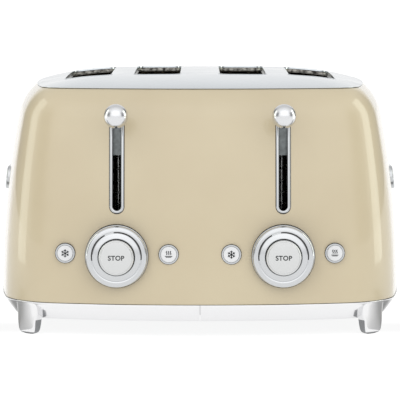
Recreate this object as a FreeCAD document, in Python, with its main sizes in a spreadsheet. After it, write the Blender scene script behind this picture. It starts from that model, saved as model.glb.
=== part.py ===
import FreeCAD, Part
import Sketcher
import math
import os
from FreeCAD import Placement, Rotation, Vector

# Four-slot pop up toaster, as an assembly of separate pieces.
#
# Millimetres, +Z up.  The front, with its levers and dials, faces -Y.
# The origin is on the surface the toaster stands on, under the middle of its
# overall width and depth.  "left" and "right" are as seen from the front.

DIMENSIONS = [
    # alias, millimetres or degrees, meaning
    ("half_width", 173.0, "painted shell, half its width at the lower edge"),
    ("half_depth", 183.5, "painted shell, half its depth at the lower edge"),
    ("middle_y", 6.0, "middle of the shell from front to back"),
    ("front_radius", 500.0, "bow of the front and the back in plan"),
    ("side_radius", 800.0, "bow of the two sides in plan"),
    ("corner_radius", 62.0, "corners in plan"),
    ("wall_radius", 780.0, "lean of the wall, an arc that is upright at its foot"),
    ("shoulder_radius", 40.0, "shoulder that turns the wall into the top"),
    ("shoulder_z", 171.8, "height of the centre of the shoulder"),
    ("sheet_steel", 1.2, "thickness of the outer pressings"),
    ("shell_low", 28.0, "lower edge of the painted shell"),
    ("seam_z", 204.0, "joint between the painted shell and the top cover"),
    ("seam_gap", 0.5, "width of that joint"),
    ("crown_top", 215.0, "highest point of the top cover"),
    ("crown_power", 3.8, "how flat the dome of the top cover stays before it falls to the seam"),
    ("skirt_low", 13.0, "lower edge of the base skirt"),
    ("skirt_high", 27.6, "upper edge of the base skirt"),
    ("skirt_wall", 2.0, "thickness of the skirt"),
    ("skirt_proud", 0.7, "how far the skirt stands out from the shell"),
    ("skirt_edge", 10.4, "lower edge of the skirt, inwards from the shell"),
    ("foot_low", 1.6, "height of the metal foot above the table"),
    ("foot_first", 34.6, "inner flank of a foot, degrees from straight ahead"),
    ("foot_last", 53.9, "outer flank of a foot, degrees from straight ahead"),
    ("foot_back", 11.4, "inner face of a foot where it leaves the skirt, inwards from the shell"),
    ("chamber_in", 36.4, "inner bread chambers from the centre line"),
    ("chamber_out", 95.4, "outer bread chambers from the centre line"),
    ("slot_width", 40.0, "bread slot, across"),
    ("slot_front", -82.0, "front end of the bread slots"),
    ("slot_back", 72.0, "back end of the bread slots"),
    ("slot_corner", 9.0, "corner radius of the bread slots"),
    ("lever_x", 68.6, "levers and dials from the centre line"),
    ("lever_z", 184.0, "height of the lever knob at rest"),
    ("lever_travel", 70.0, "travel of the lever"),
    ("knob_radius", 10.0, "ball of the lever"),
    ("knob_y", -187.5, "centre of the ball"),
    ("trim_width", 12.0, "trim round a lever slot, across"),
    ("trim_inner", 6.8, "width of the gap in that trim"),
    ("trim_low", 102.6, "lower end of the trim"),
    ("trim_high", 193.0, "upper end of the trim"),
    ("dial_z", 68.0, "height of the dials"),
    ("dial_radius", 25.5, "outside of a dial"),
    ("dial_back", -178.0, "back face of a dial"),
    ("stop_radius", 14.5, "stop button"),
    ("stop_face", -190.0, "face of the stop button"),
    ("button_pitch", 42.8, "small buttons from the middle of their dial"),
    ("button_z", 69.6, "height of the small buttons"),
    ("button_ring", 8.0, "outside of the ring round a small button"),
    ("button_radius", 6.6, "small button"),
    ("board_y", -150.0, "front face of the control boards"),
    ("shutter_y", -154.4, "middle of the plate that closes a lever slot from behind"),
    ("badge_z", 122.0, "height of the side badges"),
    ("badge_length", 92.0, "side badge, front to back"),
    ("badge_height", 20.0, "side badge, top to bottom"),
    ("badge_proud", 2.6, "how far a badge stands out"),
    ("floor_z", 18.0, "underside of the base plate"),
    ("floor_steel", 1.0, "thickness of the base plate"),
    ("end_front", -88.0, "front face of the front chassis plate"),
    ("end_back", 76.0, "front face of the rear chassis plate"),
    ("end_steel", 1.0, "thickness of the chassis plates"),
    ("end_top", 199.0, "top of the chassis plates"),
    ("end_half", 134.0, "half the width of the chassis plates"),
    ("heater_gap", 29.5, "heater boards from the middle of a chamber"),
    ("heater_low", 50.0, "lower edge of the heater boards"),
    ("heater_high", 194.0, "upper edge of the heater boards"),
    ("guide_gap", 17.5, "bread guides from the middle of a chamber"),
    ("guide_low", 52.0, "height of the guides' pivot wires"),
    ("guide_high", 196.0, "top wire of the guides"),
    ("guide_wire", 1.1, "radius of the guide wire"),
    ("rod_y", -118.0, "guide rods of the carriages"),
    ("rod_radius", 4.0, "guide rod"),
    ("rack_z", 118.0, "underside of the bread racks at rest"),
    ("tray_low", 30.0, "underside of the crumb trays"),
    ("tray_height", 10.2, "height of the crumb trays"),
    ("tray_inner", 12.0, "inner side of a crumb tray"),
    ("tray_outer", 119.8, "outer side of a crumb tray"),
    ("back_reach", 197.5, "back of the tray grips"),
    ("inlet_neck", 6.5, "radius of the neck of the cord inlet"),
]

doc = FreeCAD.newDocument("toaster")
sheet = doc.addObject("Spreadsheet::Sheet", "D")
for row, (alias, size, meaning) in enumerate(DIMENSIONS, start=1):
    sheet.set(f"A{row}", str(size))
    sheet.setAlias(f"A{row}", alias)
    sheet.set(f"B{row}", meaning)
doc.recompute()

SIDES = (("left", -1), ("right", 1))
UP = Vector(0, 0, 1)
HEATER_RUNS = 9    # level runs of ribbon on each face of a heater board
SCREWS = ((-60, -150), (60, -150), (-60, 160), (60, 160), (-150, 6), (150, 6))    # under the base
subparts = []


def size(expression):
    """Value of an expression on the sheet, such as size("D.half_width / 2")."""
    return float(sheet.evalExpression(str(expression)))


def keep(piece, label):
    """Name a finished piece, so that it is written to a file of that name."""
    piece.Label = label
    subparts.append(piece)
    return piece


def feature(label, shape):
    """A piece whose curved shape is worked out with Part's own functions."""
    piece = doc.addObject("Part::Feature", label)
    piece.Shape = shape
    return keep(piece, label)


# ---------------------------------------------------------------- the body's outline

def outline_arcs():
    """Arcs of the plan outline, anticlockwise from the middle of the front.

    Each is (centre x, centre y, radius, first angle, last angle) in degrees.
    A corner arc touches its two neighbours from the inside, so its centre is
    where two circles, each smaller by the corner radius, cross.
    """
    corner = size("D.corner_radius")
    bow = size("D.front_radius")
    side = size("D.side_radius")
    middle = size("D.middle_y")
    bow_reach = bow - size("D.half_depth")
    side_reach = side - size("D.half_width")
    near, far = bow - corner, side - corner
    gap = math.hypot(bow_reach, side_reach)
    along = (near ** 2 - far ** 2 + gap ** 2) / (2 * gap)
    across = math.sqrt(near ** 2 - along ** 2)
    back_x, back_y = -side_reach / gap, -bow_reach / gap
    x = along * back_x + across * -back_y
    y = bow_reach + along * back_y + across * back_x
    x, y = abs(x), -abs(y)
    turn_front = math.degrees(math.atan2(y - bow_reach, x))
    turn_side = math.degrees(math.atan2(y, x + side_reach))
    return [
        (0, middle + bow_reach, bow, -90, turn_front),
        (x, middle + y, corner, turn_front, turn_side),
        (-side_reach, middle, side, turn_side, -turn_side),
        (x, middle - y, corner, -turn_side, -turn_front),
        (0, middle - bow_reach, bow, -turn_front, 180 + turn_front),
        (-x, middle - y, corner, 180 + turn_front, 180 + turn_side),
        (side_reach, middle, side, 180 + turn_side, 180 - turn_side),
        (-x, middle + y, corner, 180 - turn_side, 180 - turn_front),
        (0, middle + bow_reach, bow, 180 - turn_front, 270),
    ]


def turned(first, last):
    """Angle from first to last, anticlockwise, in degrees."""
    return (last - first) % 360


def outline_wire(inset):
    """The plan outline moved in by inset, at height zero."""
    edges = []
    for x, y, radius, first, last in outline_arcs():
        circle = Part.Circle(Vector(x, y, 0), UP, radius - inset)
        start = math.radians(first)
        edges.append(Part.Arc(circle, start, start + math.radians(turned(first, last))).toShape())
    return Part.Wire(edges)


def outline_prism(inset, low, high):
    """Upright solid whose plan is the outline moved in by inset."""
    base = outline_wire(inset)
    base.translate(Vector(0, 0, low))
    return Part.Face(base).extrude(Vector(0, 0, high - low))


def swept(section, arcs):
    """Carry a section, a closed wire of (inset, z) edges in the XZ plane, along arcs.

    Every stretch of the outline is a circular arc, so every stretch of the
    piece is the section turned about that arc's own centre.
    """
    pieces = []
    for x, y, radius, first, last in arcs:
        face = Part.Face(section)
        face.rotate(Vector(0, 0, 0), UP, 180)
        face.translate(Vector(radius, 0, 0))
        face.rotate(Vector(0, 0, 0), UP, first)
        face.translate(Vector(x, y, 0))
        pieces.append(face.revolve(Vector(x, y, 0), UP, turned(first, last)))
    return pieces[0].multiFuse(pieces[1:]).removeSplitter()


def wall_line(inset, z):
    """Point of the section: inset runs along +X until swept() turns it inwards."""
    return Vector(inset, 0, z)


def lean(z):
    """How far the upright wall has moved in at height z."""
    radius = size("D.wall_radius")
    return radius - math.sqrt(radius ** 2 - (z - size("D.shell_low")) ** 2)


def shoulder_centre():
    """Inset and height of the shoulder's centre, where it meets the wall smoothly."""
    reach = size("D.wall_radius") - size("D.shoulder_radius")
    rise = size("D.shoulder_z - D.shell_low")
    return size("D.wall_radius") - math.sqrt(reach ** 2 - rise ** 2), size("D.shoulder_z")


def shoulder_point(z, depth):
    """Point of the shoulder at height z on its outside, then moved in by depth."""
    inset, centre_z = shoulder_centre()
    radius = size("D.shoulder_radius")
    angle = math.asin((z - centre_z) / radius)
    reach = radius - depth
    return wall_line(inset - reach * math.cos(angle), centre_z + reach * math.sin(angle))


def wall_point(z, depth):
    """Point of the leaning wall at height z on its outside, then moved in by depth."""
    radius = size("D.wall_radius")
    angle = math.asin((z - size("D.shell_low")) / radius)
    return wall_line(radius - (radius - depth) * math.cos(angle),
                     size("D.shell_low") + (radius - depth) * math.sin(angle))


def join_height():
    """Height where the wall's arc hands over to the shoulder's."""
    radius = size("D.wall_radius")
    rise = size("D.shoulder_z - D.shell_low")
    return size("D.shell_low") + rise * radius / (radius - size("D.shoulder_radius"))


def skin_line(depth, low, high):
    """Section line at a depth under the outside, from low to high: wall, then shoulder."""
    join = join_height()
    edges = []
    if low < join:
        top = min(high, join)
        points = [wall_point(z, depth) for z in (low, (low + top) / 2, top)]
        edges.append(Part.Arc(*points).toShape())
    if high > join:
        start = max(low, join)
        points = [shoulder_point(z, depth) for z in (start, (start + high) / 2, high)]
        edges.append(Part.Arc(*points).toShape())
    return edges


def skin_band(outer, inner, low, high):
    """Ring of the body's skin, from outer to inner depth, between two heights."""
    outside = skin_line(outer, low, high)
    inside = skin_line(inner, low, high)
    ends = [point_of(inside[0], 0), point_of(outside[0], 0)]
    tops = [point_of(outside[-1], 1), point_of(inside[-1], 1)]
    edges = outside + [Part.makeLine(*tops)] + inside[::-1] + [Part.makeLine(*ends)]
    return swept(Part.Wire(edges), outline_arcs())


def point_of(edge, end):
    """First (0) or last (1) point of an edge."""
    return edge.valueAt(edge.LastParameter if end else edge.FirstParameter)


def front_y(x, z):
    """Front surface of the shell at x and z, on the bowed part of the front."""
    radius = size("D.front_radius") - lean(z)
    centre = size("D.middle_y - D.half_depth + D.front_radius")
    return centre - math.sqrt(radius ** 2 - x ** 2)


# ---------------------------------------------------------------- simple building blocks

def block(name, centre, sides):
    """Part::Box about a centre; centre and sides are expressions on the sheet."""
    piece = doc.addObject("Part::Box", name)
    for axis, edge, middle, length in zip("xyz", ("Length", "Width", "Height"), centre, sides):
        piece.setExpression(edge, f"{length}")
        piece.setExpression(f"Placement.Base.{axis}", f"({middle}) - ({length}) / 2")
    return piece


def round_bar(name, radius, start, length, axis=UP):
    """Part::Cylinder from a start point along an axis; sizes are expressions."""
    piece = doc.addObject("Part::Cylinder", name)
    piece.Placement = Placement(Vector(0, 0, 0), Rotation(UP, axis))
    piece.setExpression("Radius", f"{radius}")
    piece.setExpression("Height", f"{length}")
    for direction, place in zip("xyz", start):
        piece.setExpression(f"Placement.Base.{direction}", f"{place}")
    return piece


def cut(name, base, tool):
    piece = doc.addObject("Part::Cut", name)
    piece.Base = base
    piece.Tool = tool
    return piece


def fuse(name, pieces):
    piece = doc.addObject("Part::MultiFuse", name)
    piece.Shapes = pieces
    return piece


def group(name, pieces):
    """Identical or paired separate solids that share one node."""
    piece = doc.addObject("Part::Compound", name)
    piece.Links = pieces
    return piece


def stadium_prism(centre, length, width, along, reach):
    """Round-ended bar: a slot shape of length along `along`, extruded by reach."""
    across = reach.cross(along).normalize() * (width / 2)
    half = along * ((length - width) / 2)
    low, high = centre - half, centre + half
    round_low = Part.Arc(low + across, low - along * (width / 2), low - across).toShape()
    round_high = Part.Arc(high - across, high + along * (width / 2), high + across).toShape()
    edges = [
        round_low,
        Part.makeLine(low - across, high - across),
        round_high,
        Part.makeLine(high + across, low + across),
    ]
    return Part.Face(Part.Wire(edges)).extrude(reach)


# ---------------------------------------------------------------- sketches and bodies

def new_body(name):
    return doc.addObject("PartDesign::Body", name)


def plane(body, role):
    return [item for item in body.Origin.OriginFeatures if item.Role == role][0]


def new_sketch(body, name, role, lift="0"):
    """Sketch on one of the body's own planes, lifted along the plane's normal."""
    sketch = body.newObject("Sketcher::SketchObject", name)
    sketch.AttachmentSupport = (plane(body, role), [""])
    sketch.MapMode = "FlatFace"
    sketch.setExpression("AttachmentOffset.Base.z", lift)
    return sketch


def fix_point(sketch, curve, end, x, y):
    """Hold a point of a sketch at expressions x and y."""
    for kind, axis, place in (("DistanceX", -2, x), ("DistanceY", -1, y)):
        if abs(size(place)) < 1e-9:
            sketch.addConstraint(Sketcher.Constraint("PointOnObject", curve, end, axis))
            continue
        index = sketch.addConstraint(Sketcher.Constraint(kind, -1, 1, curve, end, size(place)))
        sketch.setExpression(f"Constraints[{index}]", f"{place}")


def polygon(sketch, corners):
    """Closed outline of straight edges through corners given as expressions."""
    points = [Vector(size(x), size(y), 0) for x, y in corners]
    first = sketch.GeometryCount
    for start, end in zip(points, points[1:] + points[:1]):
        sketch.addGeometry(Part.LineSegment(start, end), False)
    count = len(points)
    for index in range(count):
        following = first + (index + 1) % count
        sketch.addConstraint(Sketcher.Constraint("Coincident", first + index, 2, following, 1))
    for index, (x, y) in enumerate(corners):
        fix_point(sketch, first + index, 1, x, y)


def rectangle(sketch, x, y, width, height):
    """Rectangle about (x, y); all four are expressions."""
    left, right = f"{x} - ({width}) / 2", f"{x} + ({width}) / 2"
    low, high = f"{y} - ({height}) / 2", f"{y} + ({height}) / 2"
    polygon(sketch, [(left, low), (right, low), (right, high), (left, high)])


def ring(sketch, x, y, radius):
    """Circle about (x, y); all three are expressions."""
    curve = sketch.addGeometry(Part.Circle(Vector(size(x), size(y), 0), UP, size(radius)), False)
    index = sketch.addConstraint(Sketcher.Constraint("Radius", curve, size(radius)))
    sketch.setExpression(f"Constraints[{index}]", f"{radius}")
    fix_point(sketch, curve, 3, x, y)


def pad(body, sketch, length, backwards=False):
    step = body.newObject("PartDesign::Pad", f"{sketch.Name}_pad")
    step.Profile = sketch
    step.setExpression("Length", f"{length}")
    step.Reversed = backwards
    return step


def pocket(body, sketch):
    """Cut right through, both ways."""
    step = body.newObject("PartDesign::Pocket", f"{sketch.Name}_pocket")
    step.Profile = sketch
    step.Type = "ThroughAll"
    step.Midplane = True
    return step


def turning(name, corners):
    """Body turned about its own Y axis; corners are (radius, y) expressions."""
    body = new_body(name)
    sketch = new_sketch(body, f"{name}_profile", "XY_Plane")
    polygon(sketch, corners)
    step = body.newObject("PartDesign::Revolution", f"{name}_turning")
    step.Profile = sketch
    step.ReferenceAxis = (sketch, ["V_Axis"])
    step.Angle = 360
    return body


def place(piece, x, z, y="0"):
    for axis, where in (("x", x), ("y", y), ("z", z)):
        piece.setExpression(f"Placement.Base.{axis}", f"{where}")
    return piece


# ---------------------------------------------------------------- outer pressings

def outer_shell():
    """Painted steel wall and shoulder in one pressing, pierced for what shows outside."""
    shell = skin_band(0, size("D.sheet_steel"), size("D.shell_low"), size("D.seam_z"))
    return shell.cut(shell_holes())


def shell_holes():
    """Everything that passes through the painted shell."""
    inward = Vector(0, 1, 0)
    holes = []
    for _, side in SIDES:
        x = side * size("D.lever_x")
        holes.append(trim_prism(x, size("D.trim_width") + 0.1))
        centre = Vector(x, size("D.dial_back - 20"), size("D.dial_z"))
        holes.append(Part.makeCylinder(size("D.dial_radius + 0.5"), 60, centre, inward))
        for _, button_x in small_buttons(side):
            centre = Vector(button_x, size("D.dial_back - 20"), size("D.button_z"))
            holes.append(Part.makeCylinder(size("D.button_ring + 0.05"), 60, centre, inward))
        holes.append(tray_window(side))
    inlet = Vector(0, size("D.middle_y + D.half_depth - 20"), size("D.tray_low + 14"))
    holes.append(Part.makeCylinder(size("D.inlet_neck + 0.05"), 40, inlet, inward))
    return holes


def tray_window(side):
    """Opening at the back that a crumb tray slides through."""
    gap = 0.4
    inner, outer = size("D.tray_inner") - gap, size("D.tray_outer") + gap
    low, high = size("D.tray_low") - gap, size("D.tray_low + D.tray_height") + gap
    left = inner if side > 0 else -outer
    corner = Vector(left, size("D.middle_y + 100"), low)
    return Part.makeBox(outer - inner, 150, high - low, corner)


def trim_prism(x, width):
    """Upright slot shape through the front, as long as the lever trim."""
    low, high = size("D.trim_low"), size("D.trim_high")
    spare = width - size("D.trim_width")
    centre = Vector(x, size("D.dial_back") - 20, (low + high) / 2)
    return stadium_prism(centre, high - low + spare, width, UP, Vector(0, 60, 0))


def small_buttons(side):
    """(name, x) of the two small buttons beside one dial: defrost is on the left."""
    x = side * size("D.lever_x")
    pitch = size("D.button_pitch")
    return ("defrost", x - pitch), ("reheat", x + pitch)


def top_cover():
    """Bright top cover: a shallow dome above the seam, with four slots."""
    cover = cover_solid(0).cut(cover_solid(size("D.sheet_steel")))
    slots = [slot_prism(x) for x in chamber_centres()]
    return cover.cut(slots)


def cover_solid(depth):
    """Solid under the dome: the seam's outline shrinks to the middle as it rises.

    At a share of the way out from the middle the dome has fallen by
    share ** crown_power of its whole rise.  depth moves the surface inwards.
    """
    low = size("D.seam_z + D.seam_gap")
    rise = size("D.crown_top") - low
    inset = shoulder_point(size("D.seam_z"), depth).x
    middle = Vector(0, size("D.middle_y"), 0)
    wires = []
    for share in (1.0, 0.97, 0.92, 0.84, 0.72, 0.56, 0.36, 0.15):
        wire = outline_wire(inset)
        wire.scale(share, middle)
        wire.translate(Vector(0, 0, low - depth + rise * (1 - share ** size("D.crown_power"))))
        wires.append(wire)
    return Part.makeLoft(wires, True, False)


def chamber_centres():
    inner, outer = size("D.chamber_in"), size("D.chamber_out")
    return (-outer, -inner, inner, outer)


def slot_prism(x):
    """Bread slot with rounded corners, cut straight down through the cover."""
    front, back = size("D.slot_front"), size("D.slot_back")
    width = size("D.slot_width")
    corner = Vector(x - width / 2, front, size("D.seam_z - 10"))
    slot = Part.makeBox(width, back - front, 40, corner)
    upright = [edge for edge in slot.Edges if abs(edge.tangentAt(edge.FirstParameter).z) > 0.9]
    return slot.makeFillet(size("D.slot_corner"), upright)


def skirt_half(side):
    """Half of the bright base skirt with its two feet, from front to back."""
    arcs = outline_arcs()
    first_half, second_half = arcs[:5], arcs[4:]
    x, y, radius, first, last = arcs[4]
    joint_gap = math.degrees(0.15 / radius)
    x, y, radius, first, last = arcs[0]
    first_half[0] = (x, y, radius, first + joint_gap, last)
    x, y, radius, first, last = arcs[4]
    first_half[4] = (x, y, radius, first, 90 - joint_gap)
    second_half[0] = (x, y, radius, 90 + joint_gap, last)
    x, y, radius, first, last = arcs[8]
    second_half[4] = (x, y, radius, first, last - joint_gap)
    proud, wall = -size("D.skirt_proud"), size("D.skirt_wall")
    low, high, edge = size("D.skirt_low"), size("D.skirt_high"), size("D.skirt_edge")
    corners = [
        wall_line(proud, high),
        wall_line(proud, high - 1),
        wall_line(proud + 2.2, high - 3.2),
        wall_line(proud + 8.4, low + 2.4),
        wall_line(edge, low),
        wall_line(edge + wall, low),
        wall_line(edge + wall, low + wall),
        wall_line(proud + 3.4 + wall, high - 4),
        wall_line(proud + wall, high - 1),
        wall_line(proud + wall, high),
    ]
    band = swept(Part.makePolygon(corners + corners[:1]), first_half if side > 0 else second_half)
    feet = [at_corner(foot(), side, end) for end in (-1, 1)]
    return band.multiFuse(feet).removeSplitter()


def corner_stretch(margin):
    """Outline over the right front foot, shortened by margin degrees at both ends."""
    x, y, radius, _, _ = outline_arcs()[1]
    return [(x, y, radius, size("D.foot_first - 90") + margin, size("D.foot_last - 90") - margin)]


def at_corner(shape, side, end):
    """Mirror a right front piece to another corner: side is the X sign, end the Y sign."""
    if side < 0:
        shape = shape.mirror(Vector(0, 0, 0), Vector(1, 0, 0))
    if end > 0:
        shape = shape.mirror(Vector(0, size("D.middle_y"), 0), Vector(0, 1, 0))
    return shape


def foot():
    """Right front foot: an upright face down from the top of the skirt, with a back that tapers to it."""
    low, high, proud = size("D.foot_low"), size("D.skirt_high"), -size("D.skirt_proud")
    back = size("D.foot_back")
    corners = [
        wall_line(proud, high - 1.2),
        wall_line(proud + 0.5, high - 11),
        wall_line(proud + 1.2, low + 5),
        wall_line(proud + 2.4, low),
        wall_line(back - 1.4, low),
        wall_line(back, low + 8),
        wall_line(back, high - 10),
        wall_line(proud + 1.2, high - 1.2),
    ]
    return swept(Part.makePolygon(corners + corners[:1]), corner_stretch(0))


def foot_pad():
    """Rubber sole under the right front foot."""
    outside, inside = 2.6 - size("D.skirt_proud"), size("D.foot_back") - 2.4
    top = size("D.foot_low")
    corners = [wall_line(outside, 0), wall_line(inside, 0), wall_line(inside, top), wall_line(outside, top)]
    return swept(Part.makePolygon(corners + corners[:1]), corner_stretch(1.5))


def lever_trim(side):
    """Bright stadium frame that follows the lean of the front round a lever slot."""
    depth = size("D.sheet_steel") + 0.6
    band = skin_band(-0.9, depth, size("D.trim_low - 8"), size("D.trim_high + 2"))
    x = side * size("D.lever_x")
    frame = trim_prism(x, size("D.trim_width")).cut(trim_prism(x, size("D.trim_inner")))
    return band.common(frame)


def side_badge(side):
    """Plain bright oval bar on a side wall."""
    half_z = size("D.badge_height") / 2 + 2
    middle = size("D.badge_z")
    band = skin_band(-size("D.badge_proud"), -0.05, middle - half_z, middle + half_z)
    centre = Vector(side * size("D.half_width - 30"), size("D.middle_y"), middle)
    reach = Vector(side * 60, 0, 0)
    length, height = size("D.badge_length"), size("D.badge_height")
    return band.common(stadium_prism(centre, length, height, Vector(0, 1, 0), reach))


def crumb_tray(side):
    """Shallow open tray whose back end follows the shell, with a grip."""
    inner, outer = size("D.tray_inner"), size("D.tray_outer")
    left = inner if side > 0 else -outer
    low, height = size("D.tray_low"), size("D.tray_height")
    width = outer - inner
    front, skin = size("D.slot_front - 2"), 0.8
    body = Part.makeBox(width, 400, height, Vector(left, front, low))
    hollow = Part.makeBox(width - 2 * skin, 400, height, Vector(left + skin, front + skin, low + skin))
    body = body.common(outline_prism(-0.5, low, low + height))
    hollow = hollow.common(outline_prism(2.4, low, low + height + 5))
    tray = body.cut(hollow)
    middle = side * (inner + outer) / 2
    reach = size("D.back_reach")
    grip_front = reach - 26
    grip = Part.makeBox(34, reach - grip_front, 4.4, Vector(middle - 17, grip_front, low + 2.9))
    outside = Part.makeBox(40, 60, 20, Vector(middle - 20, grip_front - 30, low - 5))
    outside = outside.common(outline_prism(0.5, low - 5, low + 15))
    back_edges = [edge for edge in grip.Edges if edge.CenterOfMass.y > reach - 0.1]
    grip = grip.makeFillet(2.0, back_edges).cut(outside)
    return tray.fuse(grip).removeSplitter()


feature("outer_shell", outer_shell())
feature("top_cover", top_cover())
for name, side in SIDES:
    feature(f"base_skirt_{name}", skirt_half(side))
    feature(f"lever_trim_{name}", lever_trim(side))
    feature(f"side_badge_{name}", side_badge(side))
    feature(f"crumb_tray_{name}", crumb_tray(side))


def base_plate():
    """Steel floor of the housing, with vents under the bread chambers."""
    low = size("D.floor_z")
    high = low + size("D.floor_steel")
    plate = outline_prism(size("D.skirt_edge + D.skirt_wall + 0.2"), low, high)
    vents = []
    for x in chamber_centres():
        for step in range(7):
            y = size("D.slot_front") + 20 + step * 19
            vents.append(stadium_prism(Vector(x, y, low - 1), 30, 6, Vector(1, 0, 0), UP * 4))
    return plate.cut(vents)


feature("base_plate", base_plate())

pads = [at_corner(foot_pad(), side, end) for side in (-1, 1) for end in (-1, 1)]
feature("foot_pads", Part.makeCompound(pads))
corner_x, corner_y, corner_radius, _, _ = outline_arcs()[1]
print("middle of the right front corner", corner_x, corner_y, corner_radius)


# ---------------------------------------------------------------- front controls

def dial_bezel(name, side):
    """Thin fixed collar in the shell, just behind the dial."""
    bezel = turning("bezel", [
        ("D.dial_radius - 3", "D.dial_back + 0.4"),
        ("D.dial_radius + 0.4", "D.dial_back + 0.4"),
        ("D.dial_radius + 0.4", "D.dial_back + 13.4"),
        ("D.dial_radius - 3", "D.dial_back + 13.4"),
    ])
    keep(place(bezel, f"{side} * D.lever_x", "D.dial_z"), f"dial_bezel_{name}")


def dial(name, side):
    """Browning dial: raised rim, groove, sloping inner ring and a sleeve behind."""
    knob = turning("dial", [
        ("D.dial_radius - 6.5", "D.dial_back + 16"),
        ("D.dial_radius - 6.5", "D.dial_back"),
        ("D.dial_radius", "D.dial_back"),
        ("D.dial_radius", "D.dial_back - 4.6"),
        ("D.dial_radius - 1", "D.dial_back - 5.6"),
        ("D.dial_radius - 3.8", "D.dial_back - 5.6"),
        ("D.dial_radius - 5", "D.dial_back - 4.2"),
        ("D.dial_radius - 5.2", "D.dial_back - 2.4"),
        ("D.stop_radius + 1.2", "D.dial_back - 7.4"),
        ("D.stop_radius + 0.5", "D.dial_back - 7.4"),
        ("D.stop_radius + 0.5", "D.dial_back + 2"),
        ("D.dial_radius - 8.5", "D.dial_back + 2"),
        ("D.dial_radius - 8.5", "D.dial_back + 16"),
    ])
    keep(place(knob, f"{side} * D.lever_x", "D.dial_z"), f"dial_{name}")


def stop_button(name, side):
    """Round push button in the middle of a dial, with its plunger."""
    button = turning("stop", [
        ("0", "D.stop_face"),
        ("D.stop_radius - 1.2", "D.stop_face"),
        ("D.stop_radius", "D.stop_face + 1.2"),
        ("D.stop_radius", "D.dial_back - 1"),
        ("3", "D.dial_back - 1"),
        ("3", "D.board_y - 5.6"),
        ("0", "D.board_y - 5.6"),
    ])
    keep(place(button, f"{side} * D.lever_x", "D.dial_z"), f"stop_button_{name}")


def ring_face(x):
    """Front of the ring round a small button, just proud of the bowed front."""
    near = min(abs(x), abs(abs(x) - size("D.button_ring")))
    return front_y(near, size("D.button_z")) - 1.2


def small_button(label, x):
    """Small round push button with its plunger; its ring is made apart."""
    face = ring_face(x)
    button = turning("button", [
        ("0", f"{face} - 0.6"),
        ("D.button_radius - 0.9", f"{face} - 0.6"),
        ("D.button_radius", f"{face} + 0.3"),
        ("D.button_radius", f"{face} + 6"),
        ("2.2", f"{face} + 6"),
        ("2.2", "D.board_y - 5.2"),
        ("0", "D.board_y - 5.2"),
    ])
    keep(place(button, f"{x}", "D.button_z"), label)


def button_ring(x):
    """Ring through the shell that a small button slides in."""
    face = ring_face(x)
    depth = front_y(abs(x) + size("D.button_ring"), size("D.button_z")) + 3 - face
    collar = turning("collar", [
        ("D.button_radius + 0.3", f"{face}"),
        ("D.button_ring", f"{face}"),
        ("D.button_ring", f"{face} + {depth}"),
        ("D.button_radius + 0.3", f"{face} + {depth}"),
    ])
    return place(collar, f"{x}", "D.button_z")


def lever_knob(name, side):
    """Ball on the end of the lever, flattened where the stem enters it."""
    ball = doc.addObject("Part::Sphere", "ball")
    ball.setExpression("Radius", "D.knob_radius")
    place(ball, f"{side} * D.lever_x", "D.lever_z", "D.knob_y")
    start = (f"{side} * D.lever_x", "D.knob_y + 4", "D.lever_z")
    socket = round_bar("socket", "2.52", start, "12", Vector(0, 1, 0))
    keep(cut("knob", ball, socket), f"lever_knob_{name}")


rings = []
for name, side in SIDES:
    dial_bezel(name, side)
    dial(name, side)
    stop_button(name, side)
    lever_knob(name, side)
    for kind, x in small_buttons(side):
        small_button(f"{kind}_button_{name}", x)
        rings.append(button_ring(x))
keep(group("rings", rings), "button_rings")


# ---------------------------------------------------------------- lever mechanism

def lever_arm(name, side):
    """Stem from the carriage out to the ball, with the shutter behind the slot."""
    x = f"{side} * D.lever_x"
    stem_back = "D.rod_y - 10"
    stem = round_bar("stem", "2.5", (x, "D.knob_y + 4", "D.lever_z"), f"{stem_back} - D.knob_y - 4",
                     Vector(0, 1, 0))
    shutter = block("shutter", (x, "D.shutter_y", "D.lever_z - 21"), ("10", "1.2", "26"))
    bridge = block("bridge", (x, "D.shutter_y", "D.lever_z - 4"), ("4.6", "1.2", "12"))
    keep(fuse("arm", [stem, shutter, bridge]), f"lever_arm_{name}")


def carriage(name, side):
    """Slider on the guide rod, with the cross bar that carries two bread racks."""
    x = f"{side} * D.lever_x"
    bar_y = "D.rod_y + 13"
    slider = block("slider", (x, "D.rod_y", "D.lever_z - 14"), ("22", "20", "40"))
    bore = round_bar("bore", "D.rod_radius + 0.05", (x, "D.rod_y", "D.lever_z - 60"), "100")
    spine_z = "(D.rack_z + D.lever_z) / 2"
    spine = block("spine", (x, bar_y, spine_z), ("26", "6", "D.lever_z - D.rack_z + 4"))
    span = "D.chamber_out - D.chamber_in + 6"
    middle = f"{side} * (D.chamber_out + D.chamber_in) / 2"
    bar = block("bar", (middle, bar_y, "D.rack_z"), (span, "6", "8"))
    keep(fuse("carriage", [cut("bored_slider", slider, bore), spine, bar]), f"carriage_{name}")


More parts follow.
